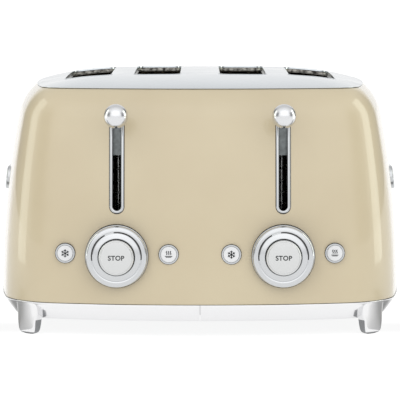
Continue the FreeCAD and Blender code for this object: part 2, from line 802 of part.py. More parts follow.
def bread_rack(chamber, side):
    """Notched plate that the bread stands on, with the arm that joins it to the carriage."""
    body = new_body("rack")
    under = new_sketch(body, "rack_arm", "XY_Plane", "D.rack_z + 2")
    arm_back, arm_front = "(D.slot_front + 13)", "(D.rod_y + 16)"
    rectangle(under, "0", f"({arm_back} + {arm_front}) / 2", "5", f"{arm_back} - {arm_front}")
    pad(body, under, "6", backwards=True)
    doc.recompute()
    sketch = new_sketch(body, "rack_plan", "XY_Plane", "D.rack_z + 2")
    length = "(D.slot_back - D.slot_front - 14)"
    rectangle(sketch, "0", "(D.slot_front + D.slot_back) / 2", "22", length)
    pad(body, sketch, "1.6")
    doc.recompute()
    notch = new_sketch(body, "rack_notch", "XY_Plane", "D.rack_z + 2")
    rectangle(notch, "0", "D.slot_front + 20", "16", "5")
    step = pocket(body, notch)
    row = body.newObject("PartDesign::LinearPattern", "rack_row")
    row.Originals = [step]
    row.Direction = (notch, ["V_Axis"])
    row.setExpression("Length", "D.slot_back - D.slot_front - 40")
    row.Occurrences = 10
    body.Tip = row
    return place(body, f"{side} * {chamber}", "0")


def return_spring(name, side):
    """Helical spring on the guide rod, pressed shorter as the carriage goes down."""
    low = size("D.floor_z + D.floor_steel + 0.8")
    high = size("D.lever_z - 34.5 - 0.8")
    helix = Part.makeHelix((high - low) / 13, high - low, 6.2)
    start = Part.makeCircle(0.7, Vector(6.2, 0, 0), Vector(0, 1, 0))
    coil = Part.Wire(helix.Edges).makePipeShell([Part.Wire(start)], True, True)
    coil.translate(Vector(side * size("D.lever_x"), size("D.rod_y"), low))
    feature(f"return_spring_{name}", coil)


def electromagnet(name, side):
    """Coil on a core, which holds the carriage down while the bread toasts."""
    x, y = f"{side} * (D.lever_x + 21)", "D.rod_y - 4"
    floor = "D.floor_z + D.floor_steel"
    top = "D.rack_z - 4 - D.lever_travel - 1.9"
    core = round_bar("core", "4", (x, y, floor), f"({top}) - ({floor})")
    coil = round_bar("coil", "8", (x, y, f"{floor} + 3"), f"({top}) - ({floor}) - 6")
    foot_plate = block("foot_plate", (x, y, f"{floor} + 0.75"), ("22", "18", "1.5"))
    keep(fuse("magnet", [core, coil, foot_plate]), f"electromagnet_{name}")
    keeper_z = "D.rack_z - 4 - 0.8"
    keeper = block("keeper", (f"{side} * (D.lever_x + 18)", "D.rod_y + 3", keeper_z), ("18", "26", "1.6"))
    keep(keeper, f"armature_{name}")


def control_board(name, side):
    """Circuit board behind the dial, with the dial's encoder and three switches."""
    x = f"{side} * D.lever_x"
    board = block("board", (x, "D.board_y + 0.8", "D.dial_z"), ("2 * D.button_pitch + 18", "1.6", "52"))
    start = (x, "D.board_y", "D.dial_z")
    encoder = round_bar("encoder", "9.5", start, "12", Vector(0, -1, 0))
    well = round_bar("well", "5.5", start, "14", Vector(0, -1, 0))
    pieces = [board, cut("encoder_ring", encoder, well)]
    pieces.append(block("switch", (x, "D.board_y - 1.2", "D.dial_z"), ("6", "2.4", "6")))
    leg_height = "D.dial_z - D.floor_z - D.floor_steel"
    leg_middle = "(D.dial_z + D.floor_z + D.floor_steel) / 2"
    for way in (-1, 1):
        centre = (f"{x} + {way} * D.button_pitch", "D.board_y - 1.2", "D.button_z")
        pieces.append(block("switch", centre, ("6", "2.4", "6")))
        leg_centre = (f"{x} + {way} * 34", "D.board_y + 2.6", leg_middle)
        pieces.append(block("leg", leg_centre, ("6", "2", leg_height)))
    keep(fuse("control", pieces), f"control_board_{name}")


rods = []
for name, side in SIDES:
    lever_arm(name, side)
    carriage(name, side)
    racks = [bread_rack(chamber, side) for chamber in ("D.chamber_in", "D.chamber_out")]
    keep(group("racks", racks), f"bread_racks_{name}")
    return_spring(name, side)
    electromagnet(name, side)
    control_board(name, side)
    start = (f"{side} * D.lever_x", "D.rod_y", "D.floor_z + D.floor_steel")
    rods.append(round_bar("rod", "D.rod_radius", start, "D.end_top - D.floor_z - D.floor_steel + 3"))
keep(group("rods", rods), "guide_rods")


# ---------------------------------------------------------------- chassis and heaters

def chassis_end(label, face, with_arms):
    """Upright plate at one end of the bread chambers, pierced for the moving wires."""
    body = new_body(label)
    plate = new_sketch(body, f"{label}_plan", "XZ_Plane", f"-({face}) - D.end_steel")
    low = "D.floor_z + D.floor_steel"
    middle_z = f"(D.end_top + {low}) / 2"
    rectangle(plate, "0", middle_z, "2 * D.end_half", f"D.end_top - ({low})")
    pad(body, plate, "D.end_steel")
    doc.recompute()
    holes = new_sketch(body, f"{label}_holes", "XZ_Plane", f"-({face})")
    for side in (-1, 1):
        for chamber in ("D.chamber_in", "D.chamber_out"):
            x = f"{side} * {chamber}"
            if with_arms:
                travel = "D.lever_travel + 12"
                rectangle(holes, x, "D.rack_z - 1 - D.lever_travel / 2", "7", travel)
            for way in (-1, 1):
                ring(holes, f"{x} + {way} * D.guide_gap", "D.guide_low", "D.guide_wire + 0.08")
        if not with_arms:
            middle = f"{side} * (D.tray_inner + D.tray_outer) / 2"
            top = "D.tray_low + D.tray_height + 0.5"
            rectangle(holes, middle, f"({low} + {top}) / 2 - 0.5",
                      "D.tray_outer - D.tray_inner + 1", f"{top} - ({low}) + 1")
    pocket(body, holes)
    return body


front_plate = chassis_end("front_plate", "D.end_front", True)
flange_centre = ("0", "(D.end_front + D.rod_y - 8) / 2 + 0.25", "D.end_top - 0.5")
flange = block("flange", flange_centre, ("2 * D.lever_x + 40", "D.end_front - D.rod_y + 8.5", "1"))
for side in (-1, 1):
    start = (f"{side} * D.lever_x", "D.rod_y", "D.end_top - 5")
    flange = cut("rod_flange", flange, round_bar("rod_hole", "D.rod_radius", start, "10"))
keep(fuse("front_end", [front_plate, flange]), "chassis_front")
keep(chassis_end("rear_plate", "D.end_back", False), "chassis_rear")

between = "(D.end_front + D.end_steel + D.end_back) / 2"
depth = "D.end_back - D.end_front - D.end_steel"
board_middle = "(D.heater_low + D.heater_high) / 2"
board_height = "D.heater_high - D.heater_low"
shields = []
for x in ("0", "-D.end_half + 3", "D.end_half - 3"):
    shields.append(block("shield", (x, between, board_middle), ("0.8", depth, board_height)))
keep(group("shields", shields), "heat_shields")

for name, side in SIDES:
    boards = []
    wires = []
    for face, reach in enumerate(("D.chamber_in - D.heater_gap", "D.chamber_in + D.heater_gap",
                                  "D.chamber_out + D.heater_gap")):
        x = f"{side} * ({reach})"
        boards.append(block("mica", (x, between, board_middle), ("0.8", depth, board_height)))
        faces = (-1, 1) if face == 1 else ((side,) if face == 0 else (-side,))
        for way in faces:
            for run in range(HEATER_RUNS):
                z = f"D.heater_low + 16 + {run} * (D.heater_high - D.heater_low - 32) / {HEATER_RUNS - 1}"
                centre = (f"{x} + {way} * 0.6", between, z)
                wires.append(block("ribbon", centre, ("0.4", f"{depth} - 6", "1.6")))
    keep(group("boards", boards), f"heater_boards_{name}")
    keep(group("ribbons", wires), f"heater_wires_{name}")


def bread_guide(label, x, way):
    """Wire frame beside a chamber: a pivot wire, a top wire and uprights between."""
    wire = "D.guide_wire"
    centre = f"({x}) + {way} * D.guide_gap"
    along = Vector(0, 1, 0)
    pivot_length = "D.end_back - D.end_front + 5"
    pieces = [round_bar("pivot", wire, (centre, "D.end_front - 2", "D.guide_low"), pivot_length, along)]
    top_length = "D.slot_back - D.slot_front - 10"
    top_start = (centre, "D.slot_front + 5", "D.guide_high")
    pieces.append(round_bar("top_wire", wire, top_start, top_length, along))
    uprights = 10
    for index in range(uprights):
        y = f"D.slot_front + 6 + {index} * (D.slot_back - D.slot_front - 12) / {uprights - 1}"
        start = (centre, y, "D.guide_low")
        pieces.append(round_bar("upright", "D.guide_wire - 0.25", start, "D.guide_high - D.guide_low"))
    keep(fuse("guide", pieces), label)


number = 0
for chamber in ("-D.chamber_out", "-D.chamber_in", "D.chamber_in", "D.chamber_out"):
    for way in (-1, 1):
        number += 1
        bread_guide(f"bread_guide_{number}", chamber, way)


# ---------------------------------------------------------------- floor and back

rails = []
for side in (-1, 1):
    for edge in ("D.tray_inner + 5", "D.tray_outer - 5"):
        rail_z = "(D.floor_z + D.floor_steel + D.tray_low - 0.3) / 2"
        middle = (f"{side} * ({edge})", "D.middle_y + 32.5", rail_z)
        rail_size = ("6", "245", "D.tray_low - 0.3 - D.floor_z - D.floor_steel")
        rails.append(block("rail", middle, rail_size))
keep(group("rails", rails), "tray_rails")

screws = []
for x, y in SCREWS:
    screws.append(round_bar("screw", "3.6", (f"{x}", f"{y}", "D.floor_z - 2"), "2"))
keep(group("screws", screws), "base_screws")

terminal = block("terminal", ("0", "D.end_back + 40", "D.floor_z + D.floor_steel + 11"), ("16", "44", "22"))
keep(terminal, "terminal_block")

inlet = turning("inlet", [
    ("3.6", "D.middle_y + D.half_depth - 6"),
    ("D.inlet_neck", "D.middle_y + D.half_depth - 6"),
    ("D.inlet_neck", "D.middle_y + D.half_depth + 0.3"),
    ("9", "D.middle_y + D.half_depth + 0.3"),
    ("9", "D.middle_y + D.half_depth + 2"),
    ("6", "D.middle_y + D.half_depth + 5"),
    ("3.6", "D.middle_y + D.half_depth + 5"),
])
keep(place(inlet, "0", "D.tray_low + 14"), "cord_inlet")


# ---------------------------------------------------------------- check and write

doc.recompute()
for item in doc.Objects:
    if {"Invalid", "Error"} & set(item.State):
        raise RuntimeError(f"{item.Name} ({item.Label}) failed: {item.State}")
for piece in subparts:
    if piece.Shape.isNull() or not piece.Shape.isValid():
        raise RuntimeError(f"{piece.Label} has no valid shape")
os.makedirs("parts", exist_ok=True)
for piece in subparts:
    piece.Shape.exportStep(f"parts/{piece.Label}.step")
overall = Part.makeCompound([piece.Shape for piece in subparts]).BoundBox
print(len(subparts), "pieces", overall)
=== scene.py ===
# %% [markdown]
# # A four-slot toaster in enamel and polished steel
#
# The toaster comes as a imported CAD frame: fifty-nine nodes with the right
# sizes, bodies and joints, but with plain surfaces.  This lesson puts finished
# surfaces on that frame.  The scene is in metres, the lengths below are written
# in millimetres, and the toaster stands on z = 0 with its levers towards -Y.
# The box of the frame is kept, because the finished model has to stay inside it.

# %% Load the frame
import math

import bpy
import bmesh
import numpy as np
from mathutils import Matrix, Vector


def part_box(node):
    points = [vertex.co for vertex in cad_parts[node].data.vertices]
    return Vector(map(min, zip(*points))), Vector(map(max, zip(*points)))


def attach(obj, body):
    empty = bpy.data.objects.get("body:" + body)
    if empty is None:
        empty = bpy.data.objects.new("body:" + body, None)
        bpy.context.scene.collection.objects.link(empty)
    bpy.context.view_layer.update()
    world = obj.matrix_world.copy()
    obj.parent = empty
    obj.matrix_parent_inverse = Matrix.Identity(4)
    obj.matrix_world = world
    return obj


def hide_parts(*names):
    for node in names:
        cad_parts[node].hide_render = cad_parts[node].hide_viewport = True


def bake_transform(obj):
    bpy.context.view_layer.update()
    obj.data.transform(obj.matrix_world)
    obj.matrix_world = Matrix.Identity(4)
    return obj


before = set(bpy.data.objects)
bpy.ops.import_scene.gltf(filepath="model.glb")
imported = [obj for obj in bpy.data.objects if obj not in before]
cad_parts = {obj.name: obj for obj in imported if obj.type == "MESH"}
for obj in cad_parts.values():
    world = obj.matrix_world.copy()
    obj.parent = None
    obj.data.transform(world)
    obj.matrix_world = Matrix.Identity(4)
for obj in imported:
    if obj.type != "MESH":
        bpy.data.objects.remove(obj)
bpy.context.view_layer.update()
MM = 0.001


def box_mm(name):
    """Low and high corner of a CAD node's box, in millimetres."""
    return [np.array(corner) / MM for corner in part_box(name)]


# %% [markdown]
# ## Colours
#
# Paint charts and screens give colours as sRGB hex, while a shader works in
# linear light.  One function turns the first into the second, so that every
# colour below can be read and compared as hex.

# %% Hex to linear light
def linear(colour):
    """sRGB hex to linear RGBA: c / 12.92 below 0.04045, else ((c + 0.055) / 1.055) ** 2.4."""
    c = np.array([int(colour[i:i + 2], 16) for i in (1, 3, 5)]) / 255
    c = np.where(c <= 0.04045, c / 12.92, ((c + 0.055) / 1.055) ** 2.4)
    return (*(float(v) for v in c), 1.0)


print("mid grey in linear light", linear("#808080"))

# %% [markdown]
# ## A node at a time
#
# A material is a small graph.  Writing it by hand takes three steps for each
# node: make it, set it, link it.  One function does the three, for every kind
# of node.

# %% Adding a node
def add(tree, kind, settings=None, links=None):
    """A node of a kind, with its properties or sockets set, and its inputs linked."""
    made = tree.nodes.new(kind)
    for name, value in (settings or {}).items():
        if isinstance(name, str) and hasattr(made, name):
            setattr(made, name, value)
        else:
            made.inputs[name].default_value = value
    for name, source in (links or {}).items():
        tree.links.new(source, made.inputs[name])
    return made


def finish(name, colour, **sockets):
    """A material of that name: its node tree and its shader, with uniform values set."""
    material = bpy.data.materials.new(name)
    material.use_nodes = True
    tree = material.node_tree
    tree.nodes.clear()
    shader = add(tree, "ShaderNodeBsdfPrincipled", {"Base Color": linear(colour)})
    for socket, value in sockets.items():
        shader.inputs[socket.replace("_", " ")].default_value = value
    add(tree, "ShaderNodeOutputMaterial", links={"Surface": shader.outputs[0]})
    material.diffuse_color = linear(colour)
    return material, tree, shader


# %% [markdown]
# ## Patterns of a real size
#
# A perfectly even surface looks like a drawing.  Each finish here carries a
# noise whose patches have a real size, and it steers one thing: the roughness,
# the colour or the height of the surface.  A painted image could do the same,
# but noise has no edges and needs no unwrapping.

# %% Noise, ranges, colours and bumps
def noise(tree, size_mm, detail=2, place=None):
    """Cloudy values with patches of a size, in the object's space unless a place is given."""
    if place is None:
        place = add(tree, "ShaderNodeTexCoord").outputs["Object"]
    settings = {"Scale": 1 / (size_mm * MM), "Detail": detail}
    return add(tree, "ShaderNodeTexNoise", settings, {"Vector": place}).outputs[0]


def ranged(tree, value, low, high, to_low=0.0, to_high=1.0, curve="LINEAR"):
    """Values from low to high are taken to the range from to_low to to_high."""
    settings = {"From Min": low, "From Max": high, "To Min": to_low, "To Max": to_high,
                "interpolation_type": curve}
    return add(tree, "ShaderNodeMapRange", settings, {"Value": value}).outputs[0]


def two_colours(tree, value, low, high, first, second):
    """Colour ramp with the first colour at low and the second at high."""
    made = add(tree, "ShaderNodeValToRGB", links={"Fac": value})
    for stop, position, colour in zip(made.color_ramp.elements, (low, high), (first, second)):
        stop.position, stop.color = position, linear(colour)
    return made.outputs[0]


def bumped(tree, value, strength, depth_mm):
    """Normal of a surface whose height follows a value."""
    settings = {"Strength": strength, "Distance": depth_mm * MM}
    return add(tree, "ShaderNodeBump", settings, {"Height": value}).outputs[0]


# %% [markdown]
# ## Surfaces from grids
#
# Every pressed or turned piece here is a surface over two parameters, such as
# the way round the body and the way up its wall.  The points are one array of
# rows and columns, and the faces join neighbours.  Where a direction closes on
# itself, its last line is joined to its first.  Modelling by hand would work
# too, but a formula keeps the highlights even.

# %% Grids, and pieces made of them
def grid(points, round_rows=False, round_columns=False):
    """Points (rows, columns, 3) as a flat list, and one four-cornered face per cell."""
    rows, columns = points.shape[:2]
    index = np.arange(rows * columns).reshape(rows, columns)
    if round_rows:
        index = np.vstack([index, index[:1]])
    if round_columns:
        index = np.hstack([index, index[:, :1]])
    faces = np.stack([index[:-1, :-1], index[1:, :-1], index[1:, 1:], index[:-1, 1:]], axis=-1)
    return points.reshape(-1, 3), faces.reshape(-1, 4).tolist()


def tube(sections):
    """Closed sections joined in order; one many-sided face closes each end."""
    points, faces = grid(sections, round_columns=True)
    columns = sections.shape[1]
    last = len(points) - columns
    return points, faces + [list(range(columns)), list(range(last, last + columns))]


def together(*surfaces):
    """Several surfaces as one: each one's faces are shifted past the points before it."""
    points, faces, count = [], [], 0
    for p, f in surfaces:
        points.append(p)
        faces += [[count + i for i in face] for face in f]
        count += len(p)
    return np.vstack(points), faces


def piece(name, surface, material, sharp=38):
    """Mesh object of a closed surface: poles merged, faces outwards, smooth up to a sharp angle."""
    points, faces = surface
    mesh = bpy.data.meshes.new(name)
    mesh.from_pydata(np.asarray(points).tolist(), [], faces)
    work = bmesh.new()
    work.from_mesh(mesh)
    bmesh.ops.remove_doubles(work, verts=work.verts, dist=1e-6)
    bmesh.ops.dissolve_degenerate(work, edges=work.edges, dist=1e-7)
    bmesh.ops.recalc_face_normals(work, faces=work.faces)
    work.to_mesh(mesh)
    work.free()
    mesh.shade_smooth()
    mesh.set_sharp_from_angle(angle=math.radians(sharp))
    mesh.materials.append(material)
    made = bpy.data.objects.new(name, mesh)
    bpy.context.scene.collection.objects.link(made)
    return made


def stands_for(made, body, slot, *nodes):
    """The piece rides on a body and hides the nodes it stands for; slot is not used."""
    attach(made, body)
    if nodes:
        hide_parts(*nodes)
    print(f"{made.name}: {len(made.data.polygons)} faces on {body}")


def fitted(name, surface, material, body, slot, *nodes, sharp=50):
    """A piece that is made and put in its place at once."""
    stands_for(piece(name, surface, material, sharp), body, slot, *nodes)


def cut_away(made, *tools, sharp=38):
    """Closed surfaces are taken out of a piece with an exact Boolean."""
    cutter = piece("cutter", together(*tools), made.data.materials[0])
    change = made.modifiers.new("holes", "BOOLEAN")
    change.operation, change.solver, change.object = "DIFFERENCE", "EXACT", cutter
    evaluated = made.evaluated_get(bpy.context.evaluated_depsgraph_get())
    mesh = bpy.data.meshes.new_from_object(evaluated)
    made.modifiers.clear()
    made.data = mesh
    mesh.shade_smooth()
    mesh.set_sharp_from_angle(angle=math.radians(sharp))
    bpy.data.objects.remove(cutter)


# %% [markdown]
# ## Soft corners
#
# Nothing pressed or turned has a knife edge, and a small round is what
# catches the light.  A section is drawn with plain corners, then each corner
# is replaced with a short curve.  A Bevel modifier could do the same later,
# but rounding the section first gives even faces all the way round.

# %% Rounding a section
def softened(corners, radius, closed=True, steps=4):
    """Corner C becomes (1-t)^2 (C+rA) + 2t(1-t) C + t^2 (C+rB), with A and B to its neighbours."""
    corners = np.asarray(corners, float)
    to_last, to_next = np.roll(corners, 1, axis=0) - corners, np.roll(corners, -1, axis=0) - corners
    last_length = np.linalg.norm(to_last, axis=1, keepdims=True)
    next_length = np.linalg.norm(to_next, axis=1, keepdims=True)
    radius = np.broadcast_to(np.asarray(radius, float).reshape(-1, 1), last_length.shape)
    reach = np.minimum(radius, 0.45 * np.minimum(last_length, next_length))
    start, stop = corners + to_last / last_length * reach, corners + to_next / next_length * reach
    t = np.linspace(0, 1, steps + 1)[None, :, None]
    curve = ((1 - t) ** 2 * start[:, None] + 2 * t * (1 - t) * corners[:, None]
             + t ** 2 * stop[:, None])
    if closed:
        return curve.reshape(-1, 2)
    return np.vstack([corners[:1], curve[1:-1].reshape(-1, 2), corners[-1:]])


def spun(profile, x, z, steps, closed=True):
    """Turned surface: profile point (r, y) goes to (x + r cos a, y, z + r sin a)."""
    a = np.linspace(0, 2 * np.pi, steps, endpoint=False)[:, None]
    r, y = (np.asarray(profile) * MM).T
    points = np.stack([x * MM + r * np.cos(a), y + 0 * a, z * MM + r * np.sin(a)], axis=-1)
    return grid(points, round_rows=True, round_columns=closed)


# %% [markdown]
# ## The outline of the body
#
# Seen from above, the body is a bowed rectangle: long flat arcs for the four
# sides and a tight arc at each corner.  A quarter of it is worked out from
# its circles and mirrored twice.  Each point also keeps its outward
# direction, because every ring further in or higher up is the same outline
# moved inwards along those directions.

# %% Plan outline
shell_low, shell_high = box_mm("outer_shell")
HALF_WIDTH = shell_high[0]
MIDDLE_Y = (shell_low[1] + shell_high[1]) / 2
HALF_DEPTH = (shell_high[1] - shell_low[1]) / 2
BOW, SIDE_BOW, CORNER = 500.0, 800.0, 62.0
BOW_STEPS, CORNER_STEPS, SIDE_STEPS = 30, 22, 26


def arc(centre, radius, first, last, steps):
    """Points centre + radius (cos a, sin a) and their outward directions."""
    a = np.linspace(first, last, steps)
    out = np.column_stack([np.cos(a), np.sin(a)])
    return centre + radius * out, out


def quarter_outline():
    """Front middle to side middle: the corner's circle touches both bows from the inside."""
    front = np.array([0.0, BOW - HALF_DEPTH])
    side = np.array([HALF_WIDTH - SIDE_BOW, 0.0])
    gap = side - front
    far = np.linalg.norm(gap)
    along = ((BOW - CORNER) ** 2 - (SIDE_BOW - CORNER) ** 2 + far ** 2) / (2 * far)
    across = math.sqrt((BOW - CORNER) ** 2 - along ** 2)
    centre = front + along * gap / far + across * np.array([-gap[1], gap[0]]) / far
    turn = math.atan2(*(centre - front)[::-1]), math.atan2(*(centre - side)[::-1])
    bow = arc(front, BOW, -math.pi / 2, turn[0], BOW_STEPS)
    corner = arc(centre, CORNER, turn[0], turn[1], CORNER_STEPS)
    flank = arc(side, SIDE_BOW, turn[1], 0.0, SIDE_STEPS)
    return [np.vstack([bow[k], corner[k][1:], flank[k][1:]]) for k in (0, 1)]


def mirrored(values):
    """Quarter to half to whole outline, without repeating the points on the mirror lines."""
    half = np.vstack([values, (values * [1, -1])[-2::-1]])
    return np.vstack([half, (half * [-1, 1])[-2:0:-1]])


PLAN, OUTWARD = (mirrored(values) for values in quarter_outline())
PLAN = PLAN + [0, MIDDLE_Y]
print("outline of", len(PLAN), "points,", np.ptp(PLAN, axis=0).round(1), "mm")

# %% [markdown]
# ## The section of the wall
#
# The wall leans in along a very large arc and then rolls over a small
# shoulder to the seam of the top cover.  For any height the section gives how
# far the skin has moved in, and how its outward direction tilts up.  The
# trims and bars that lie on the skin use the same two values.

# %% Wall and shoulder
WALL, WALL_FOOT = 780.0, shell_low[2]
SHOULDER, SHOULDER_Z = 40.0, 171.8
SEAM = shell_high[2]
SHOULDER_IN = WALL - math.sqrt((WALL - SHOULDER) ** 2 - (SHOULDER_Z - WALL_FOOT) ** 2)
JOIN = WALL_FOOT + (SHOULDER_Z - WALL_FOOT) * WALL / (WALL - SHOULDER)


def skin(z):
    """Inset and upward tilt at height z: wall radius up to the join, shoulder radius above it."""
    z = np.asarray(z, float)
    wall = np.arcsin(np.clip((z - WALL_FOOT) / WALL, -1, 1))
    roll = np.arcsin(np.clip((z - SHOULDER_Z) / SHOULDER, -1, 1))
    inset = np.where(z < JOIN, WALL * (1 - np.cos(wall)), SHOULDER_IN - SHOULDER * np.cos(roll))
    return inset, np.where(z < JOIN, wall, roll)


def skin_section(z, depth):
    """Points (inset, height) of the skin at heights z, moved inwards by depth along the tilt."""
    inset, tilt = skin(z)
    return np.column_stack([inset + depth * np.cos(tilt), z - depth * np.sin(tilt)])


def wrapped(section, plan=None, outward=None):
    """Section point (inset, height) carried round the outline: plan - inset * outward."""
    plan = PLAN if plan is None else plan
    outward = OUTWARD if outward is None else outward
    flat = plan[:, None, :] - section[None, :, :1] * outward[:, None, :]
    height = np.broadcast_to(section[None, :, 1:], flat.shape[:2] + (1,))
    return np.concatenate([flat, height], axis=-1) * MM


def on_skin(along, z, proud, bow, reach):
    """Points (along, away, z) of a bowed side, lifted by proud: its radius is bow - inset."""
    inset, tilt = skin(z)
    radius = bow - inset
    swing = along / radius
    away = reach - bow + np.sqrt(radius ** 2 - along ** 2)
    out = [swing * np.cos(tilt), np.sqrt(1 - swing ** 2) * np.cos(tilt), np.sin(tilt)]
    return np.stack([along, away, z], axis=-1) + proud[..., None] * np.stack(out, axis=-1)


print("wall meets shoulder at", round(JOIN, 1), "mm; seam inset", round(float(skin(SEAM)[0]), 1))

# %% [markdown]
# ## Floor, light and camera
#
# Product pictures of shiny things are lit by their surroundings: the metal
# shows whatever stands round it.  The world here is a white studio with two
# soft grey gaps on each side, which draw the bands down the corners of the
# body.  Its ceiling is brightest in front, and two tall soft boxes stand
# beside the toaster.  The floor is a light table: it glows by itself, so it
# stays white even under the toaster and brightens the skirt from below.  Two
# shaded cards lie on the table beside the front feet, and only their
# reflection shows: it draws the dark edge that makes a foot look round.  The
# camera looks from far away through a long lens, pitched a few degrees down,
# so the front keeps its true shape.

# %% White studio
def maths(tree, operation, *values):
    """Result of a Math node on sockets and plain numbers."""
    made = add(tree, "ShaderNodeMath", {"operation": operation})
    for k, value in enumerate(values):
        if isinstance(value, float):
            made.inputs[k].default_value = value
        else:
            tree.links.new(value, made.inputs[k])
    return made.outputs[0]


scene = bpy.context.scene
scene.view_settings.view_transform = "Standard"
world = bpy.data.worlds.new("white_studio")
scene.world = world
world.use_nodes = True
sky = world.node_tree
sky.nodes.clear()
direction = add(sky, "ShaderNodeTexCoord").outputs["Generated"]
across, ahead, upwards = add(sky, "ShaderNodeSeparateXYZ", links={0: direction}).outputs
turn = maths(sky, "DIVIDE", maths(sky, "ARCTAN2", maths(sky, "ABSOLUTE", across), ahead), math.pi)
walls = add(sky, "ShaderNodeValToRGB", links={"Fac": turn})
walls.color_ramp.interpolation = "EASE"
# 0 is straight behind the toaster, 1 is straight behind the camera
stops = [(0.0, 1.0), (0.14, 1.0), (0.22, 0.22), (0.38, 0.16), (0.43, 0.8), (0.52, 0.8),
         (0.56, 0.34), (0.63, 0.34), (0.74, 1.0), (1.0, 1.1)]
while len(walls.color_ramp.elements) < len(stops):
    walls.color_ramp.elements.new(0.5)
for element, (position, grey) in zip(walls.color_ramp.elements, stops):
    element.position = position
    element.color = (grey, grey, grey, 1)
overhead = ranged(sky, upwards, 0.35, 0.75, curve="SMOOTHSTEP")
ceiling = ranged(sky, ahead, -0.5, 0.3, 1.3, 0.8)
room = add(sky, "ShaderNodeMix", {"data_type": "FLOAT"},
           {"Factor": overhead, "A": walls.outputs[0], "B": ceiling})
glow = maths(sky, "MULTIPLY", ranged(sky, ahead, -0.35, -0.85, 0.0, 0.4, "SMOOTHSTEP"),
             ranged(sky, upwards, 0.0, 0.25, curve="SMOOTHSTEP"))
strength = maths(sky, "ADD", room.outputs[0], glow)
back = add(sky, "ShaderNodeBackground", {"Color": linear("#FFFFFF")}, {"Strength": strength})
add(sky, "ShaderNodeOutputWorld", links={"Surface": back.outputs[0]})
print("world of", len(sky.nodes), "nodes")


# %% Soft boxes, table, cards and camera
def aimed(place, aim):
    """Rotation of a lamp or camera that stands at a place and looks at a point."""
    return (Vector(aim) - Vector(place)).to_track_quat("-Z", "Y").to_euler()


def flat_sheet(name, low, high, height, material):
    """Level one-faced piece of the stage between two corners."""
    corners = np.array([(low[0], low[1], height), (high[0], low[1], height),
                        (high[0], high[1], height), (low[0], high[1], height)], float)
    made = piece(name, (corners, [[0, 1, 2, 3]]), material)
    return made


BOX_WIDE, BOX_TALL, BOX_AIM = 0.36, 0.95, (0, 0, 0.1)
for name, side, watts in (("left", -1.0, 1.7), ("right", 1.0, 2.2)):
    light = bpy.data.lights.new(f"soft_box_{name}", "AREA")
    light.shape, light.size, light.size_y, light.energy = "RECTANGLE", BOX_WIDE, BOX_TALL, watts
    light.color = linear("#FBFFF0")[:3]
    lamp = bpy.data.objects.new(f"soft_box_{name}", light)
    lamp.location = (side, 0.05, 0.42)
    lamp.rotation_euler = aimed(lamp.location, BOX_AIM)
    scene.collection.objects.link(lamp)

TABLE_REACH, TABLE_GLOW, CARD_GLOW, CARD_LIFT = 60, 0.86, 0.12, 0.0004
table, _, _ = finish("glowing_light_table", "#8C8C8C", Roughness=0.9, Specular_IOR_Level=0.0,
                     Emission_Color=linear("#FFFFFF"), Emission_Strength=TABLE_GLOW)
flat_sheet("light_table", (-TABLE_REACH, -TABLE_REACH), (TABLE_REACH, TABLE_REACH), 0, table)
shaded, tree, shader = finish("shaded_card", "#8C8C8C", Roughness=0.9, Specular_IOR_Level=0.0,
                              Emission_Color=linear("#FFFFFF"))
spot = add(tree, "ShaderNodeTexCoord").outputs["Object"]
depth = add(tree, "ShaderNodeSeparateXYZ", links={0: spot}).outputs[1]
shade = maths(tree, "MAXIMUM", ranged(tree, depth, -0.185, -0.125, TABLE_GLOW, CARD_GLOW),
              ranged(tree, depth, -0.09, -0.03, CARD_GLOW, TABLE_GLOW))
tree.links.new(shade, shader.inputs["Emission Strength"])
for side in (-1, 1):
    near, far = sorted((0.152 * side, 0.5 * side))
    card = flat_sheet("shaded_card", (near, -0.19), (far, -0.02), CARD_LIFT, shaded)
    card.visible_camera = False

lens = bpy.data.cameras.new("camera")
lens.sensor_width, lens.lens, lens.clip_end = 36, 248.3, 100
camera = bpy.data.objects.new("camera", lens)
camera.location = (0, -2.4325, 0.3123)
camera.rotation_euler = aimed(camera.location, (0, -0.1775, 0.1147))
scene.collection.objects.link(camera)
scene.camera = camera
print("camera", tuple(round(v, 3) for v in camera.location))

# %% [markdown]
# ## Enamel
#
# The body is pressed steel with a cream enamel, fired or stoved to a glossy
# film.  The eye reads it by a deep even colour under a clear reflecting skin,
# with a very faint ripple called orange peel, a few millimetres across.  The
# Principled shader's coat layer is that skin, and a weak noise tilts it.

# %% Cream enamel
enamel, tree, shader = finish("cream_stoved_enamel", "#C0B294", Roughness=0.42, Coat_Weight=1.0,
                              Coat_Roughness=0.05, Coat_IOR=1.5)
cream = two_colours(tree, noise(tree, 60, 3), 0.3, 0.7, "#BEB092", "#C2B597")
tree.links.new(cream, shader.inputs["Base Color"])
ripple = bumped(tree, noise(tree, 2.2, 1), 0.04, 0.05)
tree.links.new(ripple, shader.inputs["Coat Normal"])
tree.links.new(ripple, shader.inputs["Normal"])
print("made", enamel.name)
